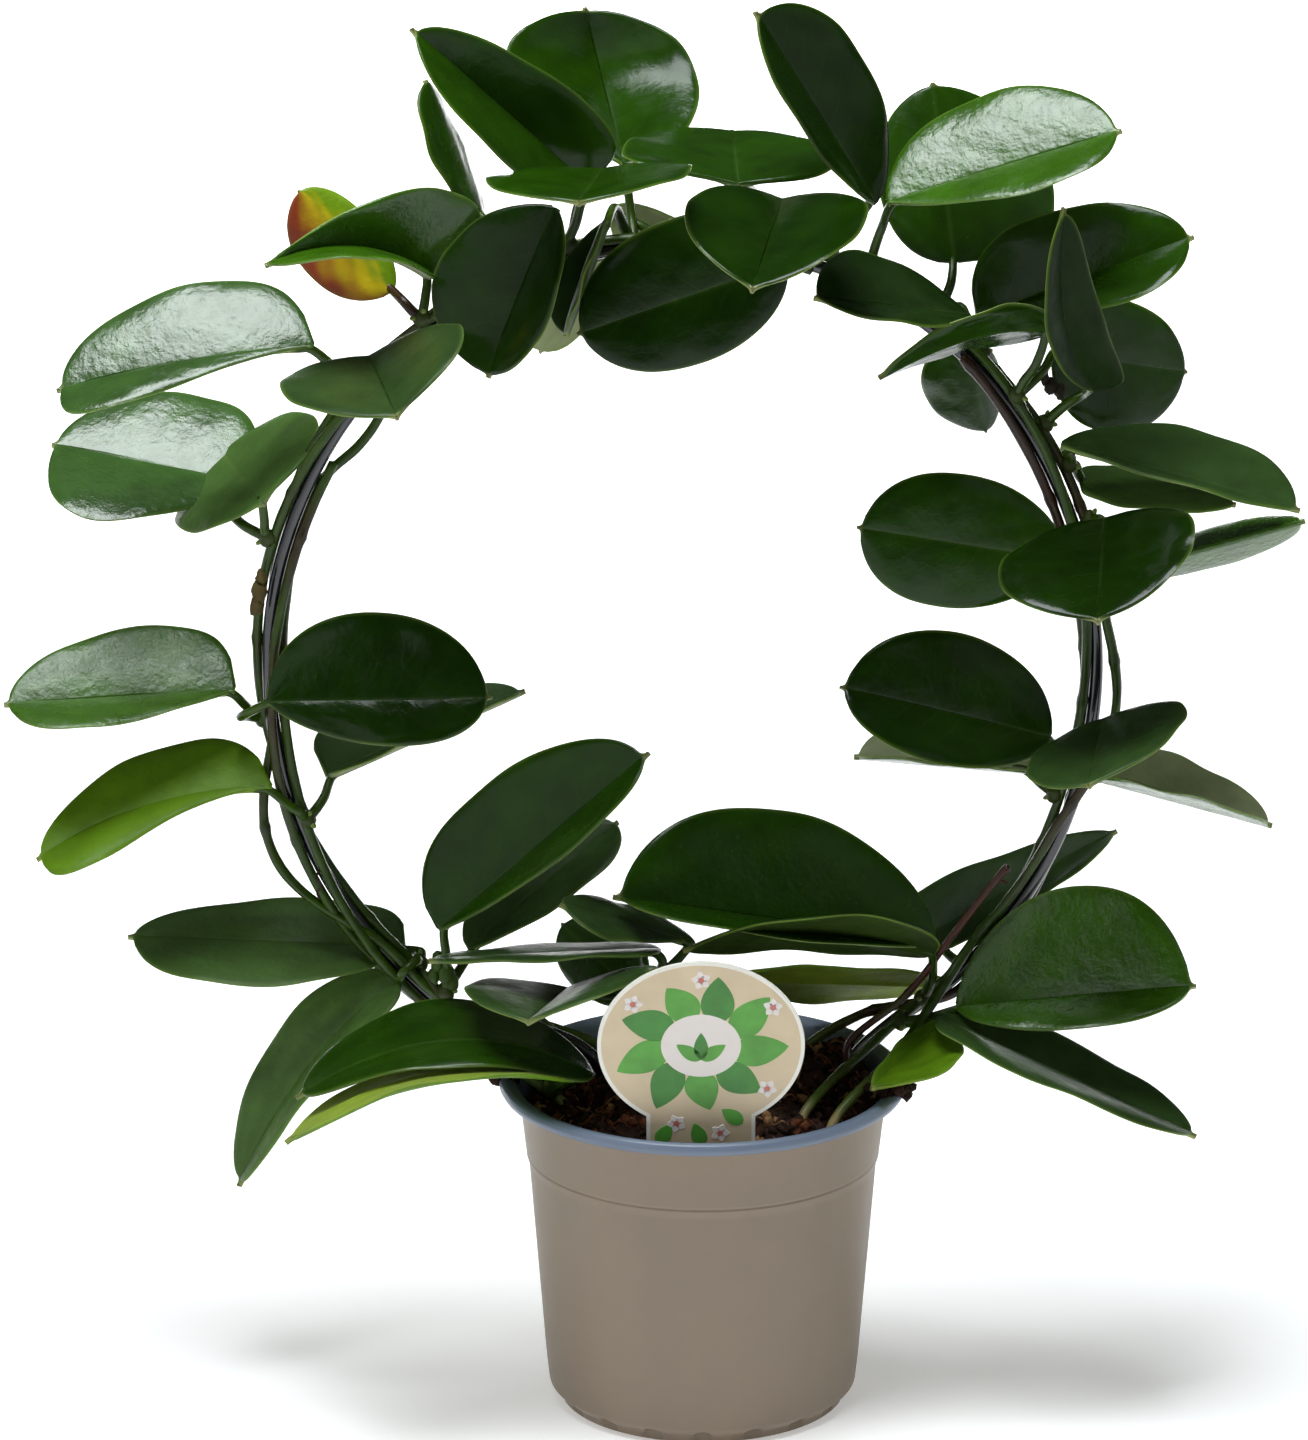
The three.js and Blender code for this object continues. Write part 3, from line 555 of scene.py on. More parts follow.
VINES = {
    "vine_left_bowed": vine(0, 231, 118, (-36, 2, 90), (-58, 8, 107), 0.1, bow=(183, 226, 15)),
    "vine_left_long": vine(1, 236, 72, (-34, 22, 90), (-55, 21, 112), 0.35, bow=(128, 158, -9),
                           slot="vine_brown"),
    "vine_left_back": vine(2, 232, 150, (-22, 30, 90), (-48, 29, 104), 0.5, slot="vine_brown"),
    "vine_left_thin": vine(4, 226, 126, (-38, -10, 90), (-58, -2, 104), 0.2),
    "vine_right_green": vine(3, -47, 104, (28, -22, 92), (48, 0, 107), 0.1),
    "vine_right_grey": vine(4, -42, 80, (37, -24, 91), (58, -4, 109), 0.3, bow=(-25, 12, 6)),
    "vine_right_back": vine(2, -50, 48, (27, 28, 92), (46, 25, 108), 0.85, skin=VINE_RED,
                            slot="vine_brown"),
    "stem_middle": stem([(690, 1072, -34), (688, 1040, -30), (664, 1000, -22), (650, 972, -14)],
                        VINE_SUNK, 0.1),
    "stem_dead": stem([(846, 1062, -13), (849, 1043, -12), (907, 994, -13), (952, 936, -12),
                       (998, 878, -12), (1008, 867, -12)], DEAD_SUNK, 1.0, skin=DEAD_RED, slot="dead_stem"),
}
PATHS = {name: smooth_path(item.route, PATH_STEP) for name, item in VINES.items()}
HOOP_PATH = smooth_path(hoop_route(), PATH_STEP)
STUMP_LENGTH = 26.0
FRESH_LENGTH = 60.0
VINE_STEP = 1.6
VINE_SIDES = 12
JOINT_SPACING = 47
JOINT_LENGTH = 1.6
STALK_ROUGH = 0.26


def make_vine(name, item):
    """One bare vine: uneven, jointed, browner in places, fresh and then tan towards its foot."""
    path = smooth_path(item.route, VINE_STEP)
    dead = name == "stem_dead"
    length = np.arange(len(path)) * VINE_STEP
    seed = len(name) * 7.3
    uneven = np.array([uneven_at((seed, run / 9, 0)) for run in length])
    patchy = np.array([uneven_at((seed, 5, run / 30)) for run in length])
    lobes = 1 + 0.05 * np.sin(3 * even_turns(VINE_SIDES)[None] + length[:, None] / 14)
    joints = np.exp(-(((length + seed) % JOINT_SPACING - JOINT_SPACING // 2) / JOINT_LENGTH) ** 2)
    radius = DEAD_RADIUS if dead else VINE_RADIUS
    thick = radius * (0.97 + 0.10 * uneven + 0.26 * joints)[:, None] * lobes
    tint = mix(VINE_GREEN, item.skin, smoothstep(-0.35, 0.35, patchy + item.brown * 1.4 - 0.7))
    if not dead:
        tint = mix(tint, VINE_FRESH, 0.7 * (1 - smoothstep(STUMP_LENGTH, FRESH_LENGTH, length)))
        tint = mix(tint, STUMP_TAN, 1 - smoothstep(STUMP_LENGTH - 4, STUMP_LENGTH + 7, length))
    shape = Shape()
    add_tube(shape, path, thick, tint * (1 - 0.25 * joints[:, None]), VINE_SIDES, STALK_ROUGH)
    if name in VINE_EXTRAS:
        VINE_EXTRAS[name](shape)
    dress(shape, name, [BARK])


def add_lumps(shape, places, depth, stretch, tint, lumps, rough):
    """Uneven lumps at picture places, each with its own radius and drawn out upwards."""
    for px, py, size in places:
        add_ball(shape, at(px, py, depth), (size, size, size * stretch), tint, lumps=lumps, rough=rough)


def left_scars(shape):
    """The brown burr on the left vine and the curled root below it."""
    add_lumps(shape, ((259, 592, 2.3), (257, 605, 1.9), (261, 578, 1.5)), -5, 1.5, BURR_OLIVE, 0.5, 0.7)
    curl = [at(321, 868, -3), at(316, 878, -6), at(322, 886, -8), at(317, 892, -7), at(320, 899, -8)]
    add_tube(shape, smooth_path(curl, 0.8), 0.4, VINE_BROWN * 0.8, 6, 0.8)


def left_cluster(shape):
    """The knot of short buds where the left vines meet the soil side of the hoop."""
    places = ((438, 962, 2.2), (446, 973, 2.5), (452, 983, 2.0), (434, 975, 1.8))
    add_lumps(shape, places, -6, 1.4, VINE_GREEN, 0.4, 0.6)


def dead_twigs(shape):
    """Short broken side twigs of the dead stem."""
    for px, py, dx, dy in ((998, 878, 9, 5), (930, 966, 5, -7)):
        twig = [at(px, py, -12), at(px + dx * 0.5, py + dy * 0.6, -13), at(px + dx, py + dy, -13)]
        add_tube(shape, smooth_path(twig, 0.8), 0.45, DEAD_RED, 8, 0.8)


def right_knot(shape):
    """The dark burr of old leaf scars behind the upper right leaves."""
    places = ((1044, 378, 1.4), (1051, 386, 1.9), (1060, 391, 1.7), (1038, 368, 1.2))
    add_lumps(shape, places, 2, 1.4, VINE_BROWN * 0.5, 0.5, 0.7)


VINE_EXTRAS = {"vine_left_bowed": left_scars, "vine_left_long": left_cluster,
               "vine_right_green": right_knot, "stem_dead": dead_twigs}


def make_hoop():
    shape = Shape()
    add_tube(shape, smooth_path(hoop_route(), 2.2), HOOP.wire, HOOP_DARK, 20, 0.25)
    dress(shape, "hoop", [hoop_material()])


def leaf(base, tip, left, right, tone, mid=None, flip=False):
    """A blade, by picture places with a depth: its base, its tip and its margins' widest points.

    mid: where the midrib bows to. flip: the dark side is the other one.
    """
    return Named(base=at(*base), tip=at(*tip), left=at(*left), right=at(*right), tone=tone,
                 mid=None if mid is None else at(*mid), face=-1.0 if flip else 1.0)


SPRAY_SEED = 100
# Each leaf pair: the place on its vine where it grows, and its leaves
SPRAYS = {
    "leaves_low_front": ((578, 1050, -24), [
        leaf((594, 1076, -42), (296, 1098, -48), (450, 998, -26), (452, 1065, -62),
             "dark", mid=(450, 1042, -50), flip=True),
        leaf((574, 1080, -44), (286, 1143, -56), (414, 1064, -42), (424, 1086, -76),
             "fresh", mid=(420, 1079, -58)),
    ]),
    "leaves_low_left": ((412, 968, 0), [
        leaf((404, 948, 8), (128, 937, 10), (236, 984, -14), (320, 898, 28), "pale"),
        leaf((402, 980, -2), (239, 1186, -4), (334, 1068, -18), (291, 1013, 8),
             "pale", mid=(312, 1064, -3)),
    ]),
    "leaves_ring_inner_left": ((462, 980, -3), [
        leaf((440, 930, -8), (649, 753, -14), (478, 790, 0), (580, 842, -26), "dark"),
        leaf((470, 950, 4), (618, 822, 26), (510, 858, 22), (592, 879, 0), "dull"),
    ]),
    "leaves_heart_low": ((645, 1006, -22), [
        leaf((568, 990, -16), (528, 1023, -66), (655, 968, -44), (466, 984, -38), "dull"),
        leaf((640, 1000, 4), (562, 924, 32), (572, 985, 18), (630, 930, 24), "dark"),
    ]),
    "leaves_middle": ((655, 982, -16), [
        leaf((660, 951, -18), (429, 961, -26), (556, 959, -42), (560, 944, -2), "dull"),
        leaf((694, 944, -14), (560, 905, -30), (604, 936, -38), (622, 902, -8), "dull"),
    ]),
    "leaves_left_low": ((305, 816, 0), [
        leaf((272, 788, -6), (37, 860, -20), (84, 868, -30), (185, 741, 8), "fresh", mid=(150, 806, -10)),
        leaf((328, 776, 6), (525, 691, 24), (432, 731, 0), (352, 712, 30), "dull", flip=True),
    ]),
    "leaves_left_middle": ((262, 724, 0), [
        leaf((235, 691, -2), (4, 705, -8), (75, 728, -24), (150, 625, 12), "sheen"),
        leaf((268, 702, -14), (492, 698, -18), (372, 612, -8), (405, 746, -24), "deep"),
    ]),
    "leaves_left_high": ((276, 540, 0), [
        leaf((248, 484, 34), (52, 445, 46), (85, 516, 10), (202, 395, 62), "silver"),
        leaf((262, 503, -6), (224, 452, 46), (176, 524, 20), (315, 417, 18), "pale"),
    ]),
    "leaves_left_shoulder": ((352, 388, -2), [
        leaf((314, 347, -2), (57, 391, -8), (95, 411, -22), (206, 281, 14), "silver", mid=(190, 361, -6)),
        leaf((370, 358, -8), (397, 418, -62), (463, 328, -38), (281, 390, -36), "dull"),
    ]),
    "leaves_yellow": ((424, 318, 0), [
        leaf((392, 290, 8), (298, 190, 12), (308, 274, 8), (364, 214, 14), "autumn"),
        leaf((431, 277, 0), (265, 266, -14), (378, 258, -26), (458, 192, -4), "mid", mid=(352, 248, -6)),
    ]),
    "leaves_top_left": ((508, 236, 0), [
        leaf((480, 215, 8), (425, 80, 16), (430, 150, 2), (466, 152, 24), "dark"),
        leaf((556, 208, -10), (488, 378, -26), (548, 318, -38), (436, 268, -8), "deep"),
    ]),
    "leaves_top_dark": ((567, 243, -2), [
        leaf((588, 186, -6), (411, 29, -22), (501, 158, -36), (588, 103, -8), "dark"),
        leaf((603, 171, -14), (579, 204, -78), (691, 169, -50), (486, 178, -48), "dark"),
    ]),
    "leaves_top_broad": ((632, 240, 3), [
        leaf((625, 166, 18), (585, 8, 66), (507, 60, 44), (697, 72, 52), "dark", mid=(604, 90, 56)),
        leaf((606, 221, -12), (566, 336, -14), (582, 280, -30), (550, 284, -6), "shade"),
    ]),
    "leaves_under": ((672, 238, 4), [
        leaf((596, 238, 18), (540, 353, 26), (500, 290, 20), (596, 312, 24), "deep"),
        leaf((612, 212, 20), (724, 262, 34), (655, 285, 26), (668, 214, 28), "deep"),
    ]),
    "leaves_top_middle": ((762, 232, 0), [
        leaf((786, 262, -12), (577, 334, -18), (700, 364, -18), (664, 221, -12), "deep"),
        leaf((738, 186, -12), (732, 132, 36), (622, 150, -2), (838, 158, 4), "dark"),
    ]),
    "leaves_top_heart": ((836, 232, 0), [
        leaf((782, 201, -12), (752, 291, -68), (867, 217, -42), (686, 206, -40), "deep"),
        leaf((874, 204, 0), (755, 12, -14), (792, 112, -24), (861, 52, 6), "deep"),
    ]),
    "leaf_top_glossy": ((884, 240, 0), [
        leaf((888, 203, -6), (1122, 131, -8), (990, 92, 12), (1049, 185, -26), "mid"),
    ]),
    "leaves_top_right": ((950, 300, 0), [
        leaf((954, 262, 10), (932, 83, 34), (878, 182, 22), (1054, 190, 28), "dark"),
        leaf((970, 317, -16), (814, 298, -28), (900, 322, -40), (860, 250, -8), "shade"),
    ]),
    "leaves_right_shoulder": ((982, 352, 1), [
        leaf((978, 318, 2), (1194, 237, -4), (1035, 216, 6), (1140, 296, -22), "dark", mid=(1080, 280, -4)),
        leaf((968, 346, 14), (986, 431, 40), (1000, 372, 26), (922, 388, 26), "dark"),
    ]),
    "leaves_right_folded": ((1022, 390, -1), [
        leaf((1050, 330, -10), (879, 378, -34), (1012, 306, -23), (975, 350, -12),
             "dark", mid=(972, 337, -24), flip=True),
        leaf((1052, 352, 10), (1186, 372, 38), (1120, 299, 26), (1110, 433, 18), "dark"),
    ]),
    "leaf_right_curled": ((1046, 424, -1), [
        leaf((1092, 389, -22), (1064, 208, -58), (1046, 318, -54), (1116, 350, -32),
             "shade", mid=(1062, 312, -44)),
    ]),
    "leaves_right_high": ((1064, 466, 0), [
        leaf((1061, 445, -4), (1300, 511, -12), (1215, 433, 16), (1190, 486, -18), "dull"),
        leaf((1080, 480, 6), (1236, 505, 6), (1130, 467, 24), (1120, 504, -6), "pale"),
    ]),
    "leaf_right_heart": ((1078, 522, -2), [
        leaf((1105, 520, -10), (1098, 623, -54), (1195, 532, -34), (998, 574, -34), "deep"),
    ]),
    "leaves_right_broad": ((1084, 578, 0), [
        leaf((1065, 560, -8), (857, 527, -14), (932, 606, -14), (965, 474, -8), "dark"),
        leaf((1110, 574, 8), (1305, 521, 4), (1210, 528, 24), (1222, 565, 18), "mid"),
    ]),
    "leaves_right_inner": ((1074, 762, 0), [
        leaf((1050, 737, -8), (840, 687, -16), (933, 762, -26), (961, 633, -6), "deep"),
        leaf((1103, 721, -8), (1089, 787, -60), (1186, 714, -34), (1026, 768, -34), "dull"),
    ]),
    "leaves_right_outer": ((1062, 798, 0), [
        leaf((1030, 772, 6), (854, 757, 12), (940, 764, -6), (955, 722, 24), "mid", flip=True),
        leaf((1096, 779, 4), (1272, 826, 0), (1155, 750, 14), (1182, 796, -18), "mid", flip=True),
    ]),
    "leaves_low_right": ((922, 1002, -2), [
        leaf((935, 945, -12), (613, 897, -24), (745, 932, -44), (774, 808, -6), "dark"),
        leaf((935, 953, -14), (683, 951, -34), (844, 914, -50), (811, 950, -16),
             "shade", mid=(811, 937, -26)),
    ]),
    "leaves_right_back": ((962, 962, 4), [
        leaf((948, 983, 9), (725, 978, 8), (836, 966, -2), (806, 1001, 28), "fresh"),
        leaf((928, 936, 16), (1117, 831, 26), (922, 888, 32), (985, 931, 8), "dull"),
    ]),
    "leaves_right_low": ((894, 1024, -6), [
        leaf((957, 1008, -10), (1196, 986, -18), (1080, 885, -6), (1085, 1028, -30), "mid"),
        leaf((938, 1018, -14), (1196, 1137, -30), (1072, 1040, -4), (1010, 1068, -54), "dull"),
        leaf((944, 1024, -16), (871, 1089, -44), (900, 1040, -28), (955, 1063, -52), "fresh", flip=True),
    ]),
}


def blade_width(along, widest):
    """Half-width along the blade, 1 where it is widest: round at the base, a small spur at the tip."""
    skew = math.log(0.5) / math.log(widest)
    run = np.minimum(1, along / SPUR_START) ** skew
    oval = np.sqrt(np.maximum(0, 1 - np.abs(2 * run - 1) ** FULLNESS))
    spur = np.minimum(SPUR_WIDTH, (1 - along) * SPUR_SLOPE)
    least = LEAST_WIDTH[0] * (1 - along) + LEAST_WIDTH[1] * along
    return np.maximum(np.maximum(oval, spur), least)


def rib_point(blade, along):
    along = np.asarray(along, dtype=float)[..., None]
    straight = (blade.base + blade.tip) / 2
    control = straight if blade.mid is None else 2 * blade.mid - straight
    return blade.base * (1 - along) ** 2 + control * 2 * along * (1 - along) + blade.tip * along ** 2


def widest_along(blade, margin):
    """How far from the base a side is widest."""
    length = blade.tip - blade.base
    return float(np.clip((margin - blade.base).dot(length) / length.dot(length), WIDEST_FROM, WIDEST_TO))


def upper_side(blade):
    return unit(np.cross(blade.right - blade.left, blade.tip - blade.base))


# Every blade is one grid of rows along its midrib and columns across it, from margin to margin
BLADE_ROWS = np.r_[np.linspace(0, 0.1, 9)[:-1], np.linspace(0.1, 0.92, 42)[:-1], np.linspace(0.92, 1, 13)]
HALF_COLUMNS = np.array([0.012, 0.035, 0.065, 0.11, 0.17, 0.24, 0.32, 0.4, 0.48, 0.56, 0.64, 0.72,
                         0.8, 0.87, 0.92, 0.955, 0.98, 0.993, 1.0])
ALONG = BLADE_ROWS[:, None]
ACROSS = np.r_[-HALF_COLUMNS[::-1], 0, HALF_COLUMNS][None]
REACH = np.abs(ACROSS)
RIPPLE = Named(waves=7, slope=5, scale=1.4, height=0.14)
MARGIN = Named(wave=0.5, waves=2.3, drop=0.4, start=0.8)
ROLL = Named(start=0.94, share=0.85)
GROOVE = Named(depth=0.03, width=0.8)
RIDGE = Named(height=0.7, width=0.9)
LINE_WIDTH = 0.6
LINE_START = 0.6
RIB_MARK = 0.13
TIP_MARK = (0.965, 0.99)
# How strongly the margin's and the tip's own colours show, on the upper face and on the lower one
MARKS = ((0.25, 0.2), (0.5, 0.4))
UNDER_ROUGH = 0.6


def ripple(draw):
    """A smooth uneven surface over the blade from a few random waves, about -1 to 1."""
    total = 0.0
    for _ in range(RIPPLE.waves):
        slope = draw.uniform(-RIPPLE.slope, RIPPLE.slope, 2)
        total = total + np.sin(TAU * (slope[0] * ALONG + slope[1] * ACROSS * 0.5) + draw.uniform(0, TAU))
    return total / RIPPLE.waves ** 0.5 / RIPPLE.scale


def blade_points(blade, draw):
    """The points of the blade's two faces, and how far each is from the midrib and from the margin."""
    side = np.empty((*ACROSS.shape, 3))
    width = np.empty((ALONG.size, ACROSS.size))
    for margin, columns in ((blade.left, ACROSS[0] < 0), (blade.right, ACROSS[0] >= 0)):
        widest = widest_along(blade, margin)
        side[:, columns] = margin - rib_point(blade, widest)
        width[:, columns] = blade_width(ALONG, widest)
    size = np.linalg.norm(side, axis=-1)
    crown = CROWN * size * 4 * REACH * (1 - REACH) * width
    wave = MARGIN.wave * REACH ** 3 * np.sin(TAU * (MARGIN.waves * ALONG + draw.uniform()) + ACROSS * 2)
    wave = wave + RIPPLE.height * ripple(draw) * (0.4 + 0.6 * REACH)
    drop = blade.face * MARGIN.drop * smoothstep(MARGIN.start, 1.0, REACH) * np.minimum(1, width * 1.5)
    lift = crown + wave * width - drop
    middle = (rib_point(blade, BLADE_ROWS)[:, None] + side * (REACH * width)[..., None]
              + upper_side(blade) * lift[..., None])
    normal = np.cross(np.gradient(middle, axis=1), np.gradient(middle, axis=0))
    normal /= np.maximum(np.linalg.norm(normal, axis=-1), 1e-9)[..., None]
    from_rib = REACH * width * size
    from_edge = (1 - REACH) * width * size
    half = (RIB_THICKNESS + (EDGE_THICKNESS - RIB_THICKNESS) * REACH ** 2) / 2
    half = half * np.sqrt(1 - ROLL.share * smoothstep(ROLL.start, 1.0, REACH)) * np.ones_like(from_rib)
    groove = GROOVE.depth * np.exp(-(from_rib / GROOVE.width) ** 2)
    ridge = RIDGE.height * np.exp(-(from_rib / RIDGE.width) ** 2) * (1 - ALONG) ** 0.6
    upper = middle + normal * (blade.face * (half - groove))[..., None]
    lower = middle - normal * (blade.face * (half + ridge))[..., None]
    return upper, lower, from_rib, from_edge


def blade_tints(blade, draw, from_rib, from_edge):
    """The colours of the same points: cloudy, with pale margins, a pale midrib and a dry tip."""
    tone = LEAF_TONES[blade.tone][0] * draw.uniform(0.9, 1.1)
    under_tone = UNDERSIDES.get(blade.tone, UNDERSIDE) * draw.uniform(0.92, 1.08)
    patch = ripple(draw)
    upper = np.broadcast_to(tone, (*from_rib.shape, 3))
    if blade.tone == "autumn":
        upper = mix(upper, AUTUMN_GREEN, smoothstep(-0.25, 0.5, ACROSS + 0.2 * patch - 0.3 * (ALONG - 0.5)))
        upper = mix(upper, AUTUMN_RED, smoothstep(0.2, 0.95, 0.5 * ALONG - 0.75 * ACROSS + 0.1 * patch))
    else:
        upper = upper * (1 + 0.12 * patch)[..., None]
    edge = np.exp(-(from_edge / LINE_WIDTH) ** 2) * (REACH > LINE_START)
    rib_mark = RIB_MARK * np.exp(-(from_rib / LINE_WIDTH) ** 2) * (1 - 0.5 * ALONG)
    spur = smoothstep(*TIP_MARK, ALONG) * np.ones_like(from_rib)
    upper = mix(upper, LEAF_RIB, rib_mark)
    lower = under_tone * (1 + 0.05 * patch)[..., None]
    return [mix(mix(face, LEAF_MARGIN, margin * edge), LEAF_TIP, tip * spur)
            for face, (margin, tip) in zip((upper, lower), MARKS)]


def add_blade(shape, blade, draw, look):
    """One waxy blade: two crowned halves that meet in the midrib, a rolled margin and a small spur."""
    *points, from_rib, from_edge = blade_points(blade, draw)
    tints = blade_tints(blade, draw, from_rib, from_edge)
    rows, columns = from_rib.shape
    count = rows * columns
    places = np.arange(count).reshape(rows, columns)
    rim = [*places[:, 0], *places[-1, 1:], *places[-2::-1, -1], *places[0, -2:0:-1]]
    strip = [[a, b, b + count, a + count] for a, b in zip(rim, rim[1:] + rim[:1])]
    quads = grid_faces(rows, columns)
    faces = np.concatenate([quads, quads[:, ::-1] + count, strip])
    uv = np.stack(np.broadcast_arrays(ALONG, ACROSS / 2 + 0.5), -1).reshape(-1, 2)
    gloss = LEAF_TONES[blade.tone][1] + draw.uniform(-0.02, 0.04)
    shape.add(np.concatenate(points).reshape(-1, 3), faces, np.concatenate(tints).reshape(-1, 3),
              np.repeat([gloss, UNDER_ROUGH], count), np.r_[uv, uv], look)


# Each pair of leaves grows from a small swelling on the outer side of the nearest vine
SWELLING_RADIUS = 2.5
SWELLING_OUT = 1.6
CLEAR_RADIUS = LAY_RADIUS + VINE_RADIUS + PETIOLE_RADIUS + 0.6
PETIOLE_BENDS = (0.3, 0.6)
PETIOLE_SUNK = 0.5
PETIOLE_INTO = (1.6, 7.0)
BUD = Named(out=1.9, apart=1.7, radii=(0.8, 0.8, 1.3))


def growth_point(place, blades):
    """Where a leaf pair leaves its vine, and the hoop's nearest point if the vine lies on the hoop."""
    gaps = {name: np.linalg.norm(path - place, axis=1)
            for name, path in PATHS.items() if name != "stem_dead"}
    name = min(gaps, key=lambda key: gaps[key].min())
    index = int(gaps[name].argmin())
    path = PATHS[name]
    spot = path[index]
    tangent = unit(path[min(index + 1, len(path) - 1)] - path[max(index - 1, 0)])
    reach = np.linalg.norm(HOOP_PATH - spot, axis=1)
    core = HOOP_PATH[int(reach.argmin())] if reach.min() <= LAY_RADIUS + 2 else None
    if core is None:
        escape = np.mean([blade.base for blade in blades], axis=0) - spot
    else:
        escape = spot - core
    escape = unit(escape - tangent * escape.dot(tangent))
    return Named(bud=spot + escape * SWELLING_OUT, core=core, tangent=tangent, escape=escape)


def petiole_route(growth, blade):
    """From the swelling round the vines, in ever wider turns, into the base of the midrib."""
    inward = unit(rib_point(blade, 0.1) - blade.base)
    route = [growth.bud]
    core, tangent, escape = growth.core, growth.tangent, growth.escape
    if core is None:
        route.append((growth.bud + blade.base) / 2 + escape * 1.5)
    else:
        offset = blade.base - core
        along = offset.dot(tangent)
        across = offset - tangent * along
        side = np.cross(tangent, escape)
        turn = math.atan2(across.dot(side), across.dot(escape))
        reach = np.linalg.norm(across)
        for part in PETIOLE_BENDS:
            radius = max(CLEAR_RADIUS, LAY_RADIUS + (reach - LAY_RADIUS) * part)
            route.append(core + escape * math.cos(turn * part) * radius
                         + side * math.sin(turn * part) * radius + tangent * along * part * 0.8)
    sink = upper_side(blade) * blade.face * PETIOLE_SUNK
    return [*route, *(blade.base + inward * reach - sink for reach in PETIOLE_INTO)]


def make_spray(name, place, blades, seed):
    """One leaf pair: its blades, their petioles, and the swelling with its buds."""
    draw = np.random.default_rng(seed)
    growth = growth_point(at(*place), blades)
    shape = Shape()
    tones = list(dict.fromkeys(blade.tone for blade in blades))
    stalk_look = len(tones)
    for blade in blades:
        add_blade(shape, blade, draw, tones.index(blade.tone))
        path = smooth_path(petiole_route(growth, blade), 0.9)
        part = np.linspace(0, 1, len(path))
        radius = PETIOLE_RADIUS * (1.15 - 0.25 * part) * (1 - 0.45 * smoothstep(0.82, 1, part))
        stalk = VINE_RED if blade.tone == "autumn" else VINE_GREEN
        add_tube(shape, path, radius, stalk, 10, STALK_ROUGH, look=stalk_look)
    add_ball(shape, growth.bud, (SWELLING_RADIUS, SWELLING_RADIUS, SWELLING_RADIUS * 1.15),
             mix(VINE_GREEN, VINE_BROWN, 0.4), growth.tangent, 0.15, 0.5, look=stalk_look)
    for lean in (-1, 1):
        bud = growth.bud + growth.escape * BUD.out + growth.tangent * lean * BUD.apart
        add_ball(shape, bud, BUD.radii, VINE_FRESH, growth.escape + growth.tangent * lean,
                 0.1, 0.5, look=stalk_look, detail=(8, 6))
    dress(shape, name, [*(LEAVES[tone] for tone in tones), BARK])


# The pot: a turned shell with a rolled lip and a scalloped foot
RIM_BLUE = srgb(98, 110, 128)
POT_TAUPE = srgb(127, 112, 94)
POT_SEGMENTS = 576
FOOT_ROWS = 14


def rounded(corners, steps=5, share=0.35):
    """A profile whose inner corners are rounded off."""
    corners = [np.array(corner, dtype=float) for corner in corners]
    points = [corners[0]]
    for before, corner, after in zip(corners, corners[1:], corners[2:]):
        reach = min(1.4, share * np.linalg.norm(corner - before), share * np.linalg.norm(after - corner))
        start = corner + unit(before - corner) * reach
        end = corner + unit(after - corner) * reach
        for t in np.linspace(0, 1, steps):
            points.append(start * (1 - t) ** 2 + corner * 2 * t * (1 - t) + end * t ** 2)
    points.append(corners[-1])
    return np.array(points)


def pot_profile():
    """Two outlines: from the middle of the foot up the outside to the lip, and back down to the floor."""
    lip = POT.height - POT.rim_band
    outside = rounded([
        (0, 0), (POT.disc_radius, 0), (POT.disc_radius + 0.8, POT.foot_height * 0.6),
        (POT.foot_radius, POT.foot_height), (POT.foot_radius + 0.9, POT.foot_height + 8),
        (POT.waist_radius, POT.groove_height - 3),
        (POT.groove_radius, POT.groove_height - 0.6),
        (POT.groove_radius - POT.groove_depth, POT.groove_height),
        (POT.groove_radius + 0.1, POT.groove_height + 0.7),
        (POT.shoulder_top, lip - 1), (POT.rim_radius - 0.8, lip)])
    inside = rounded([
        (POT.rim_radius - 0.8, lip), (POT.rim_radius, POT.height - POT.rim_band * 0.6),
        (POT.rim_radius - 0.6, POT.height - 0.6), (POT.rim_radius - 1.8, POT.height),
        (POT.rim_inner, POT.height - 1.2), (POT.shoulder_top - POT.wall, lip - 2),
        (POT.groove_radius - POT.wall, POT.groove_height),
        (POT.foot_radius - POT.wall, POT.foot_height + 4),
        (POT.disc_radius - POT.wall - 2, POT.floor), (0, POT.floor)])
    start = int(np.flatnonzero(outside[:, 0] > POT.disc_radius - 3)[0])
    end = int(np.flatnonzero(outside[:, 1] < POT.foot_height + 3)[-1])
    run = np.linspace(start, end, FOOT_ROWS * 3)
    finer = np.stack([np.interp(run, np.arange(len(outside)), outside[:, axis]) for axis in (0, 1)], -1)
    return np.concatenate([outside[:start], finer, outside[end + 1:]]), inside[1:]


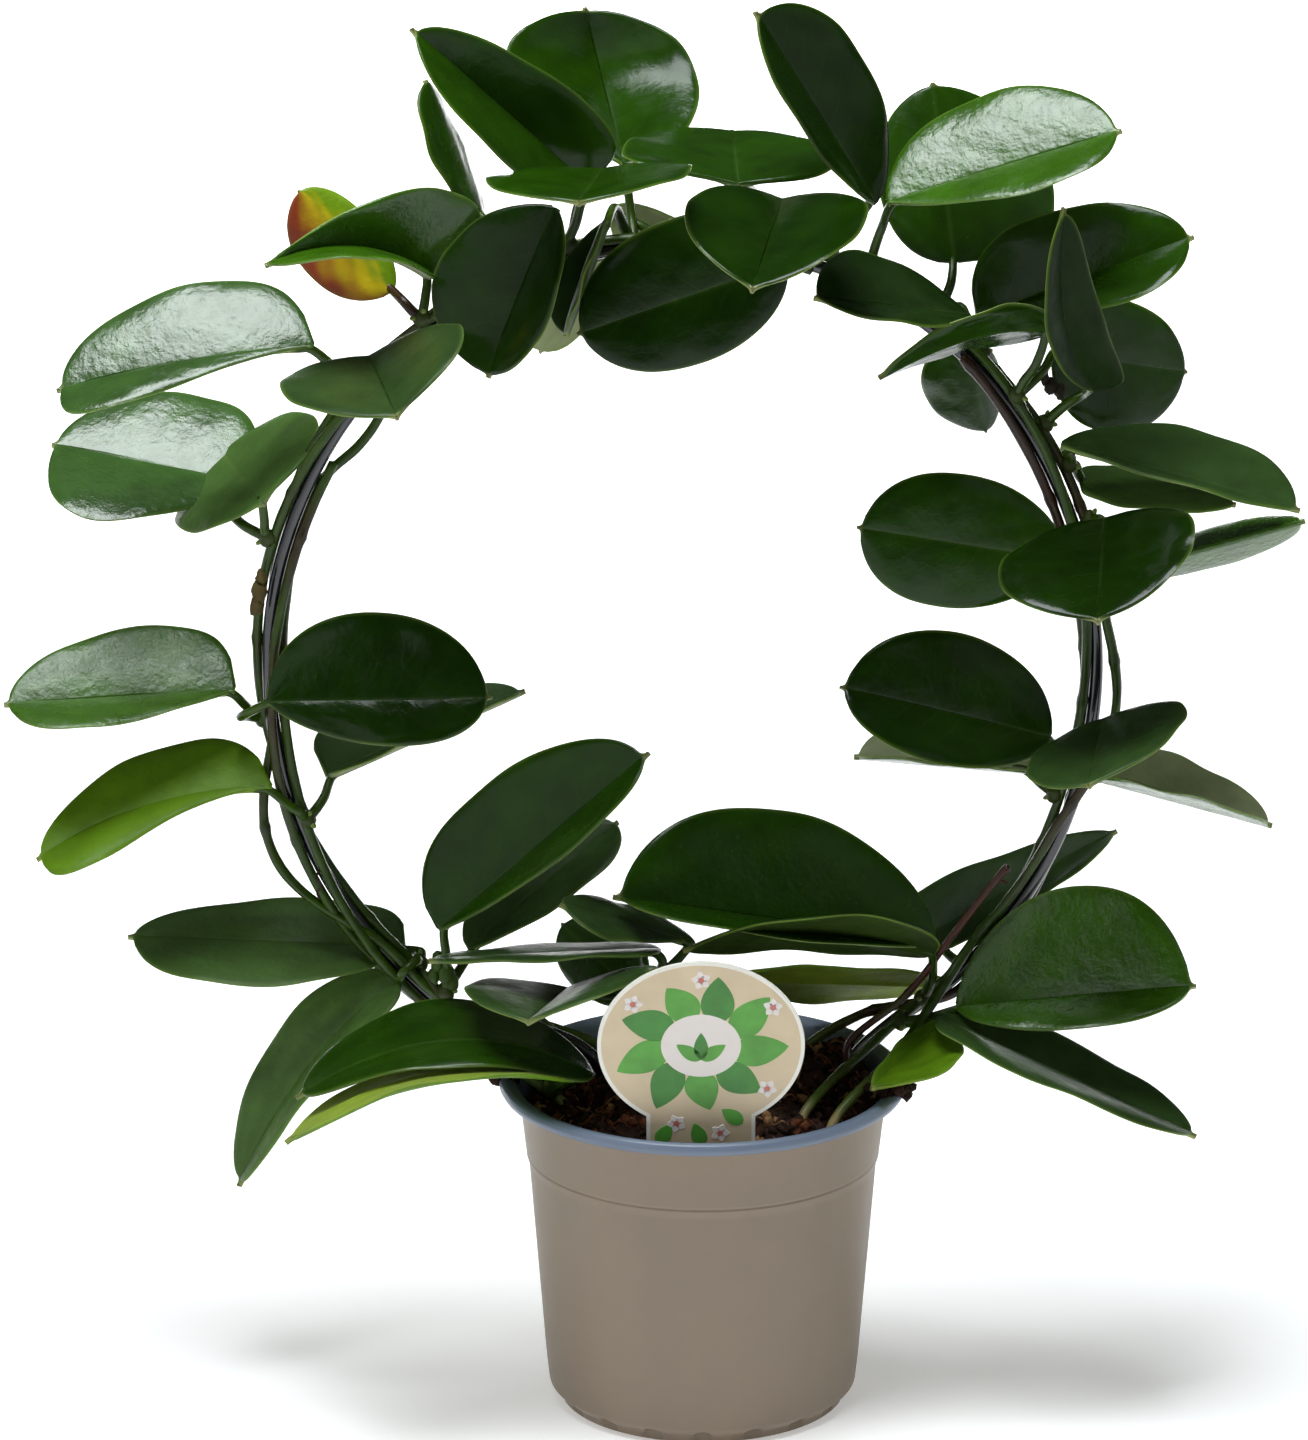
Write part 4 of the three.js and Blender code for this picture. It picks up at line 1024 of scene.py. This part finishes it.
def make_pot():
    outside, inside = pot_profile()
    profile = np.concatenate([outside, inside])
    turns = even_turns(POT_SEGMENTS)
    radius = np.repeat(profile[:, :1], POT_SEGMENTS, axis=1)
    height = np.repeat(profile[:, 1:], POT_SEGMENTS, axis=1)
    pitch = TAU / POT.notches
    aside = ((turns / pitch) % 1 - 0.5) * pitch * POT.foot_radius
    arch = POT.notch_radius * np.sqrt(np.clip(1 - (height / POT.foot_height) ** 2, 0, 1))
    bite = smoothstep(-0.5, 0.5, arch - np.abs(aside)) * (height < POT.foot_height)
    bite = bite * (np.arange(len(profile))[:, None] < len(outside))
    radius = radius - bite * np.maximum(0, radius - POT.foot_radius + POT.notch_radius * 1.1)
    points = np.stack([radius * np.cos(turns), radius * np.sin(turns), height], -1)
    faces = grid_faces(len(profile), POT_SEGMENTS, closed=True)
    shape = Shape()
    shape.add(points.reshape(-1, 3), faces, POT_TAUPE, 0.45)
    rim_start = (len(outside) - 1) * POT_SEGMENTS
    shape.looks = [int(face[0] >= rim_start) for face in shape.faces]
    dress(shape, "pot", [pot_material("pot_taupe", POT_TAUPE, 0.38, 0.5),
                                pot_material("pot_rim", RIM_BLUE, 0.3, 0.42)])


# The soil: a lumpy crown with loose crumbs and fibres
SOIL_DARK = srgb(44, 28, 20)
SOIL_RED = srgb(96, 54, 32)
SOIL_TAN = srgb(150, 112, 74)
SOIL_RADIUS = POT.shoulder_top - POT.wall - 0.9
SOIL_SEED = 11
SOIL_GRID = (64, 200)
CRUMBS = Named(count=1150, area=0.96, size=(0.6, 2.1))
FIBRES = Named(count=300, area=0.92, length=(3, 9), bend=0.6, radius=(0.18, 0.4))
# Clods and lumps on the soil: their width, their own layer of the noise and their height
CLODS = [(9.0, 0, 2.2), (3.4, 4, 1.3)]
# The heap of soil at the right of the label
HEAP = Named(x=41.0, y=26.0, reach=17.0, height=7.0)
# Crumbs spilled on the rim: the turn where they lie, how widely they spread about it and their number
SPILLS = [(-0.21, 0.055, 130), (3.12, 0.05, 26)]
SPILL_OUT = (50.0, 60.5)
SPILL_SIZE = (0.8, 2.2)
LABEL_CLEAR = (-38.0, 20.0)


def soil_height(x, y):
    radius = math.hypot(x, y)
    turn = math.atan2(y, x)
    crown = SOIL.crown * (1 - (radius / POT.rim_inner) ** 2)
    lumps = math.sin(turn * 5 + radius * 0.16) + 0.7 * math.cos(turn * 9 - radius * 0.11)
    away = ((x - HEAP.x) ** 2 + (y - HEAP.y) ** 2) / HEAP.reach ** 2
    height = SOIL.top + crown + HEAP.height * math.exp(-away) + SOIL.ripple * lumps * min(1, radius / 20)
    for width, layer, rise in CLODS:
        height += rise * uneven_at((x / width, y / width, layer))
    return height


def soil_spot(draw, part):
    """A random place on the soil, anywhere within this part of its area."""
    radius = SOIL_RADIUS * math.sqrt(draw.uniform(0, part))
    turn = draw.uniform(0, TAU)
    return radius * math.cos(turn), radius * math.sin(turn)


def add_ground(shape):
    """The body of the soil, from its uneven top down to the pot's floor."""
    rings, segments = SOIL_GRID
    radii = np.linspace(0, SOIL_RADIUS, rings)
    turns = even_turns(segments)
    flat = np.stack([np.outer(radii, np.cos(turns)), np.outer(radii, np.sin(turns))], -1).reshape(-1, 2)
    top = np.array([(x, y, soil_height(x, y)) for x, y in flat])
    floor = [(SOIL_RADIUS - 2.6, POT.groove_height), (POT.foot_radius - 3, POT.foot_height + 4),
             (POT.disc_radius - 5, POT.floor + 0.3), (0, POT.floor + 0.3)]
    walls = np.concatenate([np.stack([r * np.cos(turns), r * np.sin(turns), np.full(segments, z)], -1)
                            for r, z in floor])
    places = np.concatenate([top, walls])
    clouds = np.array([uneven_at(place / 6) for place in places])
    tint = mix(SOIL_DARK, SOIL_RED, 0.5 * smoothstep(0.1, 0.6, clouds))
    shape.add(places, grid_faces(rings + len(floor), segments, closed=True), tint, 0.9)


def make_soil():
    draw = np.random.default_rng(SOIL_SEED)
    shape = Shape()
    add_ground(shape)
    for _ in range(CRUMBS.count):
        x, y = soil_spot(draw, CRUMBS.area)
        if y < LABEL_CLEAR[0] and abs(x) < LABEL_CLEAR[1]:
            continue
        add_crumb(shape, draw, (x, y, soil_height(x, y)), draw.uniform(*CRUMBS.size))
    for turn, width, count in SPILLS:
        for _ in range(count):
            out = draw.uniform(*SPILL_OUT)
            angle = turn + draw.normal(0, width)
            height = POT.height - 1 + draw.uniform(0, 2.4) - max(0, out - POT.rim_radius) * 2
            place = (out * math.cos(angle), out * math.sin(angle), height)
            add_crumb(shape, draw, place, draw.uniform(*SPILL_SIZE))
    for _ in range(FIBRES.count):
        add_fibre(shape, draw)
    dress(shape, "soil", [soil_material()])


def add_crumb(shape, draw, place, size):
    tone = draw.uniform()
    tint = SOIL_TAN if tone > 0.96 else SOIL_RED if tone > 0.8 else SOIL_DARK * draw.uniform(0.7, 1.5)
    radii = size * draw.uniform(0.6, 1.2, 3)
    centre = np.array(place) + (0, 0, size * 0.3)
    add_ball(shape, centre, radii, tint, draw.normal(size=3), 0.9, 0.95, detail=(7, 5))


def add_fibre(shape, draw):
    x, y = soil_spot(draw, FIBRES.area)
    heading = draw.uniform(0, TAU)
    length = draw.uniform(*FIBRES.length)
    bend = draw.uniform(-FIBRES.bend, FIBRES.bend)
    points = []
    for part in (0, 0.35, 0.7, 1):
        angle = heading + bend * part
        px, py = x + length * part * math.cos(angle), y + length * part * math.sin(angle)
        limit = min(1, SOIL_RADIUS / max(math.hypot(px, py), 1e-6))
        px, py = px * limit, py * limit
        rise = 0.5 + 1.6 * math.sin(math.pi * part) * draw.uniform(0, 1)
        points.append((px, py, soil_height(px, py) + rise))
    tint = SOIL_RED if draw.uniform() > 0.35 else SOIL_TAN * 0.8
    add_tube(shape, smooth_path(points, 1.4), draw.uniform(*FIBRES.radius), tint, 5, 0.9)


# The label: a printed oval on a neck and stake, with a made-up wreath of leaves and small flowers
LABEL_CENTRE = at(701, 1045, -62)
# Each look of the label: its colour, its roughness and how strong its grain is
LABEL_LOOKS = {
    "label_white": (srgb(226, 224, 214), 0.35, 0.01),
    "label_ground": (srgb(202, 184, 152), 0.4, 0.05),
    "label_green": (srgb(80, 150, 52), 0.4, 0.16),
    "label_leaf": (srgb(58, 124, 44), 0.4, 0.16),
    "label_panel": (srgb(220, 212, 206), 0.4, 0.01),
    "label_pink": (srgb(186, 104, 92), 0.4, 0.05),
}
GREENS = ("label_green", "label_leaf")
# The print stands a little out from the label, and each of its layers out from the one below
PRINT = Named(inset=1.1, out=0.05, step=0.04)
WREATH = Named(leaves=9, start=0.35, lean=0.5, length=12.5, stretch=4.5, width=9.8, inside=0.8)
# The oval panel inside the wreath, and the three leaves on it: where they grow, their turns and size
PANEL = (11.5, 9.8)
PANEL_FOOT = (0, -4.5)
PANEL_TURNS = (0.6, 1.57, 2.54)
PANEL_LEAF = (8.6, 4.2)
PETALS = Named(count=5, size=(2.9, 2.3), eye=0.9)
FLOWERS = [(-19.5, 13.0), (19.0, -13.5), (-7.0, -24.5), (0.0, 20.5), (20.5, 12.0), (5.5, -27.5)]
NECK_LEAF = (7.5, 4.6)
NECK_LEAVES = [((-12.5, -31.0), 1.0), ((12.0, -24.5), 2.5), ((0.5, -31.5), 1.9)]


def label_outline(inset=0.0):
    wide, high = LABEL.half_width - inset, LABEL.half_height - inset
    neck, stake = LABEL.neck_half - inset, LABEL.stake_half - inset
    tip = LABEL.stake_tip - LABEL_CENTRE[2]
    start = math.asin(neck / wide)
    turns = np.linspace(start - math.pi / 2, 1.5 * math.pi - start, 120)
    points = [(wide * math.cos(turn), high * math.sin(turn)) for turn in turns]
    left = [(-neck, -LABEL.neck_end), (-stake, -LABEL.stake_start), (1 - stake, tip + 8)]
    right = [(-x, y) for x, y in left[::-1]]
    return np.array([*points, *left, (0, tip + inset), *right])


def on_label(flat, out):
    """Points of the label's own plane, out in front of its middle."""
    lean = LABEL.lean
    side = np.array([1.0, 0, 0])
    front = np.array([0, -math.cos(lean), math.sin(lean)])
    up = np.array([0, math.sin(lean), math.cos(lean)])
    return LABEL_CENTRE + flat[:, :1] * side + flat[:, 1:] * up + front * out


def add_plate(shape, outline, back, front, name):
    """A flat plate between two depths, its front corner eased."""
    look = list(LABEL_LOOKS).index(name)
    middle = outline.mean(axis=0)
    eased = middle + (outline - middle) * (1 - 0.12 / np.abs(outline - middle).max())
    rings = [on_label(outline, back), on_label(outline, front - 0.06), on_label(eased, front)]
    count = len(outline)
    start = shape.count
    shape.add(np.concatenate(rings), grid_faces(3, count, closed=True), LABEL_LOOKS[name][0], look=look)
    shape.add_caps(start, [range(count), range(2 * count, 3 * count)], look)


def motif_leaf(base, turn, length, width, point=1.3):
    """A round motif leaf from base, in the label's own plane."""
    t = np.linspace(0, 1, 14)
    half = width / 2 * np.sin(math.pi * t ** (1 / point)) ** 0.8
    there = np.stack([t * length, half], -1)
    back = np.stack([t[::-1] * length, -half[::-1]], -1)[1:-1]
    flat = np.concatenate([there, back])
    c, s = math.cos(turn), math.sin(turn)
    return flat @ np.array([[c, s], [-s, c]]) + np.asarray(base)


def oval(centre, wide, high, count=64):
    turns = even_turns(count)
    return np.stack([centre[0] + wide * np.cos(turns), centre[1] + high * np.sin(turns)], -1)


def make_label():
    shape = Shape()
    half = LABEL.thickness / 2
    add_plate(shape, label_outline(), -half, half, "label_white")

    def add_print(outline, layer, name):
        add_plate(shape, outline, 0, half + PRINT.out + PRINT.step * layer, name)

    add_print(label_outline(PRINT.inset), 0, "label_ground")
    for i, turn in enumerate(even_turns(WREATH.leaves) + WREATH.start):
        base = (PANEL[0] * WREATH.inside * math.cos(turn), PANEL[1] * WREATH.inside * math.sin(turn))
        length = WREATH.length + WREATH.stretch * abs(math.cos(turn))
        add_print(motif_leaf(base, turn + WREATH.lean, length, WREATH.width), 1, GREENS[i % 2])
    add_print(oval((0, 0), *PANEL), 2, "label_panel")
    for i, turn in enumerate(PANEL_TURNS):
        add_print(motif_leaf(PANEL_FOOT, turn, *PANEL_LEAF), 3, GREENS[i % 2])
    for base, turn in NECK_LEAVES:
        add_print(motif_leaf(base, turn, *NECK_LEAF), 3, "label_green")
    for number, spot in enumerate(FLOWERS):
        for turn in number + even_turns(PETALS.count):
            add_print(motif_leaf(spot, turn, *PETALS.size), 4, "label_panel")
        add_print(oval(spot, PETALS.eye, PETALS.eye, 16), 5, "label_pink")
    looks = [plain_material(name, *look) for name, look in LABEL_LOOKS.items()]
    dress(shape, "label", looks, flat=True)


make_pot()
make_soil()
make_hoop()
make_label()
for name, item in VINES.items():
    make_vine(name, item)
for number, (name, (place, blades)) in enumerate(SPRAYS.items()):
    make_spray(name, place, blades, SPRAY_SEED + number)


# Floor, light and camera, in metres
WHITE = (1.0, 1.0, 1.0)
FLOOR_REACH = 9.0
PLANT_MIDDLE = (0, 0, 0.22)


def add_light(name, size, power, place, aim=PLANT_MIDDLE, spread=math.pi, tint=WHITE):
    light = bpy.data.lights.new(name, "AREA")
    light.shape = "RECTANGLE"
    light.size, light.size_y = size
    light.energy = power
    light.spread = spread
    light.color = tint
    lamp = add_object(name, light)
    lamp.location = place
    lamp.rotation_euler = (Vector(aim) - Vector(place)).to_track_quat("-Z", "Y").to_euler()


def make_studio():
    mesh = bpy.data.meshes.new("floor")
    corners = ((-1, -1), (1, -1), (1, 1), (-1, 1))
    mesh.from_pydata([(x * FLOOR_REACH, y * FLOOR_REACH, 0) for x, y in corners], [], [(0, 1, 2, 3)])
    mesh.materials.append(Skin("floor").finish({"Base Color": (0.9, 0.9, 0.9), "Roughness": 0.9,
                                                "Emission Color": WHITE, "Emission Strength": 0.34}))
    add_object("floor", mesh)
    world = bpy.data.worlds.new("studio")
    world.use_nodes = True
    background = world.node_tree.nodes["Background"]
    background.inputs["Color"].default_value = (0.95, 0.97, 1.0, 1.0)
    background.inputs["Strength"].default_value = 0.03
    bpy.context.scene.world = world
    add_light("backdrop", size=(6.0, 2.4), power=390, place=(0, 3.1, 2.7), aim=(0, 3.1, 0),
              spread=math.radians(78))
    add_light("softbox", size=(0.98, 0.88), power=43, place=(-0.2, -0.15, 1.75), tint=(0.93, 0.97, 1.0))
    add_light("key_left", size=(3.2, 1.7), power=14, place=(-1.7, -1.2, 1.0))
    add_light("fill_right", size=(3.2, 1.6), power=6, place=(1.9, -1.0, 0.9))
    bpy.context.scene.view_settings.view_transform = "Standard"


def make_camera():
    data = bpy.data.cameras.new("camera")
    data.sensor_width = SENSOR
    data.lens = SENSOR * VIEW_DISTANCE / (VIEW_SCALE * max(PICTURE))
    data.clip_end = 100
    camera = add_object("camera", data)
    camera.location = Vector((VIEW_POINT * MM).tolist())
    camera.rotation_euler = (math.pi / 2 - VIEW_ELEVATION, 0, 0)
    bpy.context.scene.camera = camera


make_studio()
make_camera()
